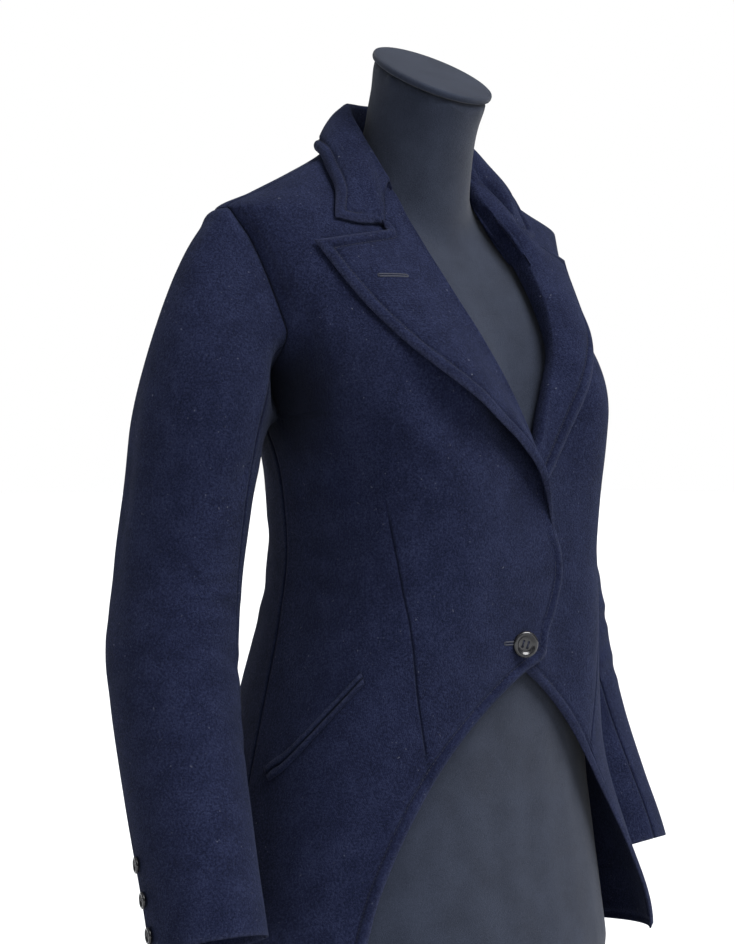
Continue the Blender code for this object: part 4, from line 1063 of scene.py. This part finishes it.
def make_collar():
    stations = COLLAR_GRID["stations"] + 1
    shares = crowded(2 * stations - 1, COLLAR_GRID["crowding"])[:stations] * 2
    across = crowded(COLLAR_GRID["across"], COLLAR_GRID["across_crowding"])
    half = np.array([through_points(collar_line(share), across) for share in shares])
    bare = np.concatenate([half, half[-2::-1] * (-1, 1, 1)])
    fall = int(COLLAR_GRID["across"] * COLLAR_BULGE["notch"])
    free = np.concatenate([bare[0, fall:], bare[:, -1], bare[-1, fall:][::-1]])
    to_edge = along_line(bare, free)[0]
    to_gorge = np.minimum(along_line(bare, bare[0, :fall + 1])[0], along_line(bare, bare[-1, :fall + 1])[0])
    on_fall = ease(np.broadcast_to(across, to_edge.shape), *COLLAR_ACROSS["fall"])
    past_fold = np.clip((across - COLLAR_BULGE["from"]) / (1 - COLLAR_BULGE["from"]), 0, 1)
    bulge = np.sin(math.pi * past_fold) ** COLLAR_BULGE["power"]
    station = np.linspace(0, 1, len(bare))
    along = {form: ease(station, *span) for form, span in COLLAR_ALONG.items()}
    swell = COLLAR_BULGE["left"] * along["left"] + COLLAR_BULGE["right"] * along["right"]
    swell *= along["left_end"] * along["right_end"]
    relief = (swelled(to_edge) + COLLAR_RELIEF["unrest"] * unrest(bare, COLLAR_RELIEF["seed"])) * on_fall
    relief += COLLAR_RELIEF["sewn"] * sewn(to_gorge) + swell[:, None] * bulge[None]
    gorge = np.clip((across - COLLAR_BULGE["from"]) / (COLLAR_BULGE["notch"] - COLLAR_BULGE["from"]), 0, 1)
    gorge = 4 * gorge * (1 - gorge)
    relief += LAPEL_RISE[LEFT] * along["gorge"][:, None] * gorge[None]
    relief += LAPEL_RISE[RIGHT] * along["gorge"][::-1, None] * gorge[None]
    at_end = ease(across, *COLLAR_ACROSS["end"])
    relief -= COLLAR_BULGE["end_down"] * along["end_down"][:, None] * at_end[None]
    on_crown = ease(across, *COLLAR_ACROSS["crown_in"]) * ease(across, *COLLAR_ACROSS["crown_out"])
    at_ends = np.maximum(along["crown"], along["crown"][::-1])
    relief -= COLLAR_BULGE["crown_down"] * at_ends[:, None] * on_crown[None]
    outer = bare + relief[..., None] * grid_normals(bare)
    # Painted shade in the groove of the stitch line along the edge; it joins the seam mark.
    groove_shade = SEAM_AND_SHADE_MARK["painted_groove_shade"] * groove(to_edge, SEAM_AND_SHADE_MARK["groove"]) * on_fall
    marks = {"seam": np.maximum(groove_shade, bell(to_gorge, SEAM_AND_SHADE_MARK["fine"])),
             "wear": COLLAR_RELIEF["rubbed"] * bell(to_edge, RUBBED["width"]) * on_fall}
    sewn_from = fall + COLLAR_GRID["sewn_from"]
    walks = [(slice(None), k) for k in range(sewn_from, outer.shape[1])]
    walks += [(row, slice(None, None, -1)) for row in range(len(outer))]
    walks += [(slice(None, None, -1), k) for k in range(outer.shape[1] - 1, sewn_from - 1, -1)]
    stitch_lines["collar_cloth"] = [stitch_line(outer, to_edge, walks)]
    piece = cloth("collar_cloth", outer, LEFT, ("far", "low", "high"), marks)
    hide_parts("collar")
    return piece


collar = make_collar()

# Pockets: a slanted opening on each hip between two narrow lips of folded wool, tacked at both ends.
# The lips stand a little proud of the front and meet along the opening.
POCKET_ENDS = ((62, 936), (93, 852))
LIP = {
    "width": 6.0, "gap": 0.15, "round": 0.00367, "up": 0.83, "edge": 0.2, "crown": 2.8, "wall": 0.5,
    "long": 70, "across": 17, "crowding": 0.6, "taper": 22, "low": 0.4, "seam": 0.8,
    "rubbed": 0.5, "rubbed_power": 6,
}


def make_lip(side, sign, word):
    (turn_a, z_a), (turn_b, z_b) = POCKET_ENDS
    along = crowded(LIP["long"], LIP["crowding"])[::-sign]
    t, s = np.meshgrid(along, np.linspace(0, 1, LIP["across"]), indexing="ij")
    shift = sign * (LIP["gap"] + LIP["width"] * s)
    turn = np.radians(turn_a + (turn_b - turn_a) * t) + LIP["round"] * shift
    height = z_a + (z_b - z_a) * t + LIP["up"] * shift
    ends = np.sqrt(np.clip(np.minimum(t, 1 - t) * LIP["taper"], 0, 1))
    arch = np.sqrt(np.clip(1 - (2 * s - 1) ** 2, 0, 1))
    proud = LIP["crown"] * arch * (LIP["low"] + (1 - LIP["low"]) * ends)
    outer = front(turn, height, side, LIP["edge"] + proud)
    marks = {"seam": bell(s * LIP["width"], LIP["seam"]), "wear": LIP["rubbed"] * arch ** LIP["rubbed_power"]}
    piece = cloth("pocket_lip_cloth_%s_%s" % (word, WORD[side]), outer, side, (), marks, LIP["wall"])
    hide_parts("pocket_lip_%s_%s" % (word, WORD[side]))
    return piece


LIP_WORDS = ((1, "upper"), (-1, "lower"))
lips = {side: [make_lip(side, sign, word) for sign, word in LIP_WORDS] for side in (RIGHT, LEFT)}

# Thread: navy silk, in a row of short stitches along every swelled edge, and a paler cord round buttonholes.
# One buttonhole is worked in the right lapel and one behind the waist button, both cut along the front.
THREAD_DARK, THREAD_LIGHT = (0.006, 0.008, 0.02, 1), (0.024, 0.028, 0.055, 1)
CORD_DARK, CORD_LIGHT = (0.02, 0.022, 0.035, 1), (0.075, 0.08, 0.105, 1)
SILK_SURFACE = {"Roughness": 0.6, "Specular IOR Level": 0.3}
SILK_TWIST, SILK_SPREAD, SILK_RELIEF = {"scale": 2600, "detail": 1}, (0.3, 0.7), 0.0002
THREAD_SIDES = 6
THREAD_RINGS = ((0, 0.35), (0.14, 0.85), (0.5, 1.0), (0.86, 0.85), (1, 0.35))
STITCH = {"long": 2.3, "apart": 3.3, "radius": 0.3}
CORDED = {"apart": 0.62, "half": 1.9, "radius": 0.4, "slit": 0.5, "proud": 0.25, "foot": 0.4, "fan": 5}
LAPEL_HOLE = ((34.6, 1267.5), (25.2, 1267.5))
LAPEL_HOLE_ABOVE = 2.5 * LAPEL_LAY
FRONT_HOLE = {"from": 31, "to": 9, "level": 961}


def silk_finish(name, dark, light):
    nodes = Nodes(name, SILK_SURFACE)
    twist = nodes.noise(**SILK_TWIST)
    nodes.paint("Base Color", nodes.blend(nodes.spread(twist, *SILK_SPREAD), dark, light))
    nodes.relief(((twist, SILK_RELIEF),))
    return nodes.material


def thread_piece(name, starts, ends, radius, material):
    """Many short threads as one mesh, each a six-sided bead drawn out from its start to its end."""
    starts, ends = np.asarray(starts, float), np.asarray(ends, float)
    way = unit(ends - starts)
    side_way = unit(np.cross(way, np.where(np.abs(way[:, 2:]) < 0.9, (0, 0, 1), (1, 0, 0))))
    other = np.cross(way, side_way)
    rings = []
    for share, swell in THREAD_RINGS:
        middle = starts + (ends - starts) * share
        for angle in np.arange(THREAD_SIDES) * 2 * math.pi / THREAD_SIDES:
            rings.append(middle + radius * swell * (side_way * math.cos(angle) + other * math.sin(angle)))
    points = np.stack(rings, axis=1).reshape(-1, 3) * MM
    block, size = [], len(rings)
    for low in range(0, size - THREAD_SIDES, THREAD_SIDES):
        for i in range(THREAD_SIDES):
            j = (i + 1) % THREAD_SIDES
            block.append((low + i, low + j, low + THREAD_SIDES + j, low + THREAD_SIDES + i))
    firsts = size * np.arange(len(starts))
    faces = (np.array(block)[None] + firsts[:, None, None]).reshape(-1, 4).tolist()
    ends_down = np.arange(THREAD_SIDES)[::-1][None] + firsts[:, None]
    ends_up = np.arange(size - THREAD_SIDES, size)[None] + firsts[:, None]
    mesh = bpy.data.meshes.new(name)
    mesh.from_pydata(points, [], faces + ends_down.tolist() + ends_up.tolist())
    obj = shown(bpy.data.objects.new(name, mesh))
    smooth_faces(obj)
    obj.data.materials.append(material)
    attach(obj, "root")
    return obj


def sew(name, lines):
    """Short stitches along lines of points, left out where a line jumps."""
    starts, ends = [], []
    for line in lines:
        run = np.concatenate([[0], np.cumsum(np.linalg.norm(np.diff(line, axis=0), axis=1))])
        first = np.arange(STITCH["apart"], run[-1] - STITCH["apart"], STITCH["apart"])
        a, b = [np.stack([np.interp(at, run, line[:, k]) for k in range(3)], -1)
                for at in (first, first + STITCH["long"])]
        nearest = np.min(np.linalg.norm(((a + b) / 2)[:, None] - line[None], axis=-1), axis=1)
        kept = nearest < STITCH["long"]
        starts.append(a[kept])
        ends.append(b[kept])
    return thread_piece(name, np.concatenate(starts), np.concatenate(ends), STITCH["radius"], silk)


def worked_hole(name, piece, first, last):
    """Buttonhole: close upright stitches over both edges of a slit, with a fan of them round either end."""
    bpy.context.view_layer.update()
    starts, ends = [], []

    def stitch(at, out):
        _, seat, normal, _ = piece.closest_point_on_mesh(Vector(at * MM))
        seat, normal = np.array(seat) / MM, np.array(normal)
        out = unit(out - normal * np.dot(out, normal))
        starts.append(seat + out * CORDED["slit"] + normal * CORDED["proud"])
        ends.append(seat + out * CORDED["half"] + normal * CORDED["foot"] * CORDED["proud"])
        return normal
    way = unit(last - first)
    normal = stitch(first, -way)
    across = np.cross(normal, way)
    for t in np.arange(0, np.linalg.norm(last - first), CORDED["apart"]):
        for sign in (-1, 1):
            stitch(first + way * t, across * sign)
    for angle in np.linspace(-math.pi / 2, math.pi / 2, CORDED["fan"]):
        stitch(first, across * math.sin(angle) - way * math.cos(angle))
        stitch(last, across * math.sin(angle) + way * math.cos(angle))
    return thread_piece(name, starts, ends, CORDED["radius"], cord)


def mirrored(vector, side):
    return np.asarray(vector) * (side, 1, 1)


silk = silk_finish("navy_silk_thread", THREAD_DARK, THREAD_LIGHT)
cord = silk_finish("buttonhole_cord", CORD_DARK, CORD_LIGHT)
edge_sewing = {name: sew("stitches_" + name, lines) for name, lines in stitch_lines.items()}
hole_ends = [front(np.radians(np.array(float(turn))), np.array(float(z)), RIGHT, LAPEL_HOLE_ABOVE)
             for turn, z in LAPEL_HOLE]
lapel_hole = worked_hole("buttonhole_lapel", lapels[RIGHT], *[mirrored(end, RIGHT) for end in hole_ends])
level = np.array(float(FRONT_HOLE["level"]))
hole_ends = [front(turn_at(np.array(float(aside)), level), level, RIGHT, LAPEL_LAY)
             for aside in (FRONT_HOLE["from"], FRONT_HOLE["to"])]
front_hole = worked_hole("buttonhole_front", coat_fronts[RIGHT], *[mirrored(end, RIGHT) for end in hole_ends])

# Buttons: black horn-like discs turned with a raised rim, one at the waist and three behind each cuff.
# Each has four holes and is sewn on with a few strands of navy silk.
HORN_DARK, HORN_STREAK = (0.006, 0.006, 0.008, 1), (0.022, 0.02, 0.02, 1)
HORN_SURFACE = {"Specular IOR Level": 0.55, "Coat Weight": 0.25}
HORN_STREAKS, HORN_GRAIN = {"scale": 180, "detail": 4}, (1.0, 1.0, 4.0)
HORN_SCRATCHES = {"scale": 1400, "detail": 2}
HORN_SPREAD = {"streak": (0.5, 0.8), "gloss": (0.3, 0.7, 0.14, 0.32)}
HORN_RELIEF = 0.00003
# Radius and height as shares of the button's own, from the middle of the face round to the back
BUTTON_PROFILE = (
    (0.0, 0.48), (0.46, 0.48), (0.56, 0.53), (0.64, 0.72), (0.72, 0.92), (0.81, 1.0), (0.9, 0.95),
    (0.965, 0.77), (1.0, 0.52), (0.975, 0.3), (0.89, 0.13), (0.7, 0.05), (0.0, 0.05),
)
BUTTON_SHARP = math.radians(40)
FRONT_BUTTON = {
    "radius": 11.5, "height": 4.2, "aside": 9, "level": 960,
    "tip": math.radians(-24), "seat": 0.4, "stands": 2.6, "upright": (0.3, 0, 1),
}
CUFF_BUTTON = {"radius": 7.0, "height": 3.0, "rises": (14, 41, 68), "behind": math.radians(10), "seat": 0.3}
THREAD_HOLE = {"radius": 0.105, "aside": 0.2, "sides": 14}
# Strands: over is a share of the button's height; low and high are millimetres at a strand's end and middle
STRANDS = {"count": 3, "apart": 0.45, "radius": 0.32, "over": 0.03, "low": -0.7, "high": 0.35, "reach": 1.25}


def horn_finish():
    nodes = Nodes("black_horn", HORN_SURFACE)
    long_way = nodes.put("ShaderNodeMapping", {"Vector": nodes.place, "Scale": HORN_GRAIN})
    streak = nodes.spread(nodes.noise(vector=long_way, **HORN_STREAKS), *HORN_SPREAD["streak"])
    scratch = nodes.noise(**HORN_SCRATCHES)
    nodes.paint("Base Color", nodes.blend(streak, HORN_DARK, HORN_STREAK))
    nodes.paint("Roughness", nodes.spread(scratch, *HORN_SPREAD["gloss"]))
    nodes.relief(((scratch, HORN_RELIEF),))
    return nodes.material


horn = horn_finish()


def make_button(node, size, place, normal, upright):
    """Turns one button, drills it and sews it on; upright is the way that its threads run."""
    normal = unit(np.array(normal))
    upright = unit(np.array(upright) - normal * np.dot(upright, normal))
    aside = np.cross(upright, normal)
    axes = np.stack([aside, upright, normal], -1)
    matrix = Matrix([(*row, at) for row, at in zip(axes, np.array(place) * MM)] + [(0, 0, 0, 1)])
    profile = [(r * size["radius"], h * size["height"]) for r, h in BUTTON_PROFILE]
    button = turned(node + "_disc", profile, Matrix.Identity(4), TURN_STEPS)
    offset = THREAD_HOLE["aside"] * size["radius"]
    radius = THREAD_HOLE["radius"] * size["radius"]
    drill_profile = ((0, -size["height"]), (radius, -size["height"]), (radius, 2 * size["height"]),
                     (0, 2 * size["height"]))
    for x in (-offset, offset):
        for y in (-offset, offset):
            spot = Matrix.Translation((x * MM, y * MM, 0))
            drill = turned("drill", drill_profile, spot, THREAD_HOLE["sides"])
            cut = button.modifiers.new("hole", "BOOLEAN")
            cut.operation, cut.object, cut.solver = "DIFFERENCE", drill, "EXACT"
            bake(button)
            bpy.data.objects.remove(drill)
    button.data.transform(matrix)
    smooth_faces(button)
    button.data.set_sharp_from_angle(angle=BUTTON_SHARP)
    button.data.materials.clear()
    button.data.materials.append(horn)
    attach(button, "root")
    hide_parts(node)
    face = (BUTTON_PROFILE[0][1] + STRANDS["over"]) * size["height"]
    low, high = face + STRANDS["low"], face + STRANDS["high"]
    scale = size["radius"] / FRONT_BUTTON["radius"]
    reach = STRANDS["reach"] * offset
    starts, ends = [], []
    for x in (-offset, offset):
        for k in range(STRANDS["count"]):
            strand = place + aside * (x + (k - (STRANDS["count"] - 1) / 2) * STRANDS["apart"] * scale)
            starts += [strand - upright * reach + normal * low, strand + normal * high]
            ends += [strand + normal * high, strand + upright * reach + normal * low]
    thread_piece(node + "_thread", starts, ends, STRANDS["radius"] * scale, silk)


def seated(surface, turn, height, side, out):
    """Place and normal on a surface of the coat, on its own side."""
    turn, height = np.array(float(turn)), np.array(float(height))
    seat = surface(turn, height, side, out)
    return mirrored(seat, side), mirrored(surface(turn, height, side, out + 1) - seat, side)


spot = turn_at(np.array(float(FRONT_BUTTON["aside"])), np.array(float(FRONT_BUTTON["level"])))
seat, normal = seated(front, spot, FRONT_BUTTON["level"], RIGHT, FRONT_BUTTON["seat"])
tip = FRONT_BUTTON["tip"]
lean = np.array([[math.cos(tip), -math.sin(tip), 0], [math.sin(tip), math.cos(tip), 0], [0, 0, 1]])
normal = lean @ normal
seat = seat + FRONT_BUTTON["stands"] * normal
make_button("front_button", FRONT_BUTTON, seat, normal, FRONT_BUTTON["upright"])
for side in (RIGHT, LEFT):
    for k, rise in enumerate(CUFF_BUTTON["rises"]):
        spot, level = HIND_SEAM + CUFF_BUTTON["behind"], CUFF_HEIGHT[side] + rise
        seat, normal = seated(arm_point, spot, level, side, CUFF_BUTTON["seat"])
        make_button("cuff_button_%s_%d" % (WORD[side], k + 1), CUFF_BUTTON, seat, normal, (0, 0, 1))

# Stage: a floor painted grey round the form as painted shade, so that it bounces less light onto the coat,
# and pale further out; a surround that the camera sees white but that lights the scene more dimly and darker
# below; and one broad soft light from the front.
FLOOR_HALF = 60
# The near colour is painted shade on the floor round the form; it gives way to the far colour between 1.2 and
# 3.2 m out.
FLOOR_NEAR_SHADE, FLOOR_FAR = (0.55, 0.55, 0.555, 1), (0.95, 0.95, 0.955, 1)
FLOOR_PALER = {"from": 1.2, "to": 3.2}
FLOOR_SURFACE = {"Roughness": 0.9, "Specular IOR Level": 0.1}
SURROUND = {"low": (0.10, 0.105, 0.115, 1), "high": (0.5, 0.52, 0.55, 1), "seen": 1.0}
KEY = {"energy": 4.3, "spread": math.radians(40), "tilt": math.radians(38), "way": math.radians(14)}
floor_mesh = bpy.data.meshes.new("floor")
floor_mesh.from_pydata([(x * FLOOR_HALF, y * FLOOR_HALF, 0) for x, y in ((-1, -1), (1, -1), (1, 1), (-1, 1))],
                       [], [(0, 1, 2, 3)])
floor = shown(bpy.data.objects.new("floor", floor_mesh))
floor_paper = Nodes("floor_with_painted_shade", FLOOR_SURFACE)
reach = floor_paper.put("ShaderNodeVectorMath", {0: floor_paper.place}, {"operation": "LENGTH"}, out=1)
floor_paper.paint("Base Color", floor_paper.blend(
    floor_paper.spread(reach, FLOOR_PALER["from"], FLOOR_PALER["to"]), FLOOR_NEAR_SHADE, FLOOR_FAR))
floor.data.materials.append(floor_paper.material)
world = bpy.data.worlds.new("white_surround")
bpy.context.scene.world = world
world.use_nodes = True
sky = world.node_tree
lit = sky.nodes["Background"]
seen = sky.nodes.new("ShaderNodeBackground")
seen.inputs["Color"].default_value = (1, 1, 1, 1)
seen.inputs["Strength"].default_value = SURROUND["seen"]
way_up = sky.nodes.new("ShaderNodeSeparateXYZ")
ramp = sky.nodes.new("ShaderNodeMix")
ramp.data_type = "RGBA"
ramp.inputs[6].default_value, ramp.inputs[7].default_value = SURROUND["low"], SURROUND["high"]
straight = sky.nodes.new("ShaderNodeLightPath")
choose = sky.nodes.new("ShaderNodeMixShader")
sky.links.new(sky.nodes.new("ShaderNodeTexCoord").outputs["Generated"], way_up.inputs[0])
sky.links.new(way_up.outputs["Z"], ramp.inputs[0])
sky.links.new(ramp.outputs[2], lit.inputs["Color"])
sky.links.new(straight.outputs["Is Camera Ray"], choose.inputs[0])
sky.links.new(lit.outputs[0], choose.inputs[1])
sky.links.new(seen.outputs[0], choose.inputs[2])
sky.links.new(choose.outputs[0], sky.nodes["World Output"].inputs["Surface"])
sun = bpy.data.lights.new("key", "SUN")
sun.energy, sun.angle = KEY["energy"], KEY["spread"]
key = shown(bpy.data.objects.new("key", sun))
key.rotation_euler = (KEY["tilt"], 0, KEY["way"])
bpy.context.scene.view_settings.view_transform = "Standard"

# Camera: level, at the front on the wearer's right, with the frame's own shift.
DISTANCE, AZIMUTH, LEVEL = 2.2, math.radians(-45), 1.118
FOCAL_PX, CENTRE_U, CENTRE_V, WIDE, HIGH = 2486, 427, 457, 735, 944
lens = bpy.data.cameras.new("camera")
lens.sensor_fit = "VERTICAL"
lens.sensor_height = 24
lens.lens = FOCAL_PX / HIGH * lens.sensor_height
lens.shift_x = (WIDE / 2 - CENTRE_U) / HIGH
lens.shift_y = (CENTRE_V - HIGH / 2) / HIGH
camera = shown(bpy.data.objects.new("camera", lens))
camera.location = (DISTANCE * math.sin(AZIMUTH), -DISTANCE * math.cos(AZIMUTH), LEVEL)
camera.rotation_euler = (math.radians(90), 0, AZIMUTH)
bpy.context.scene.camera = camera
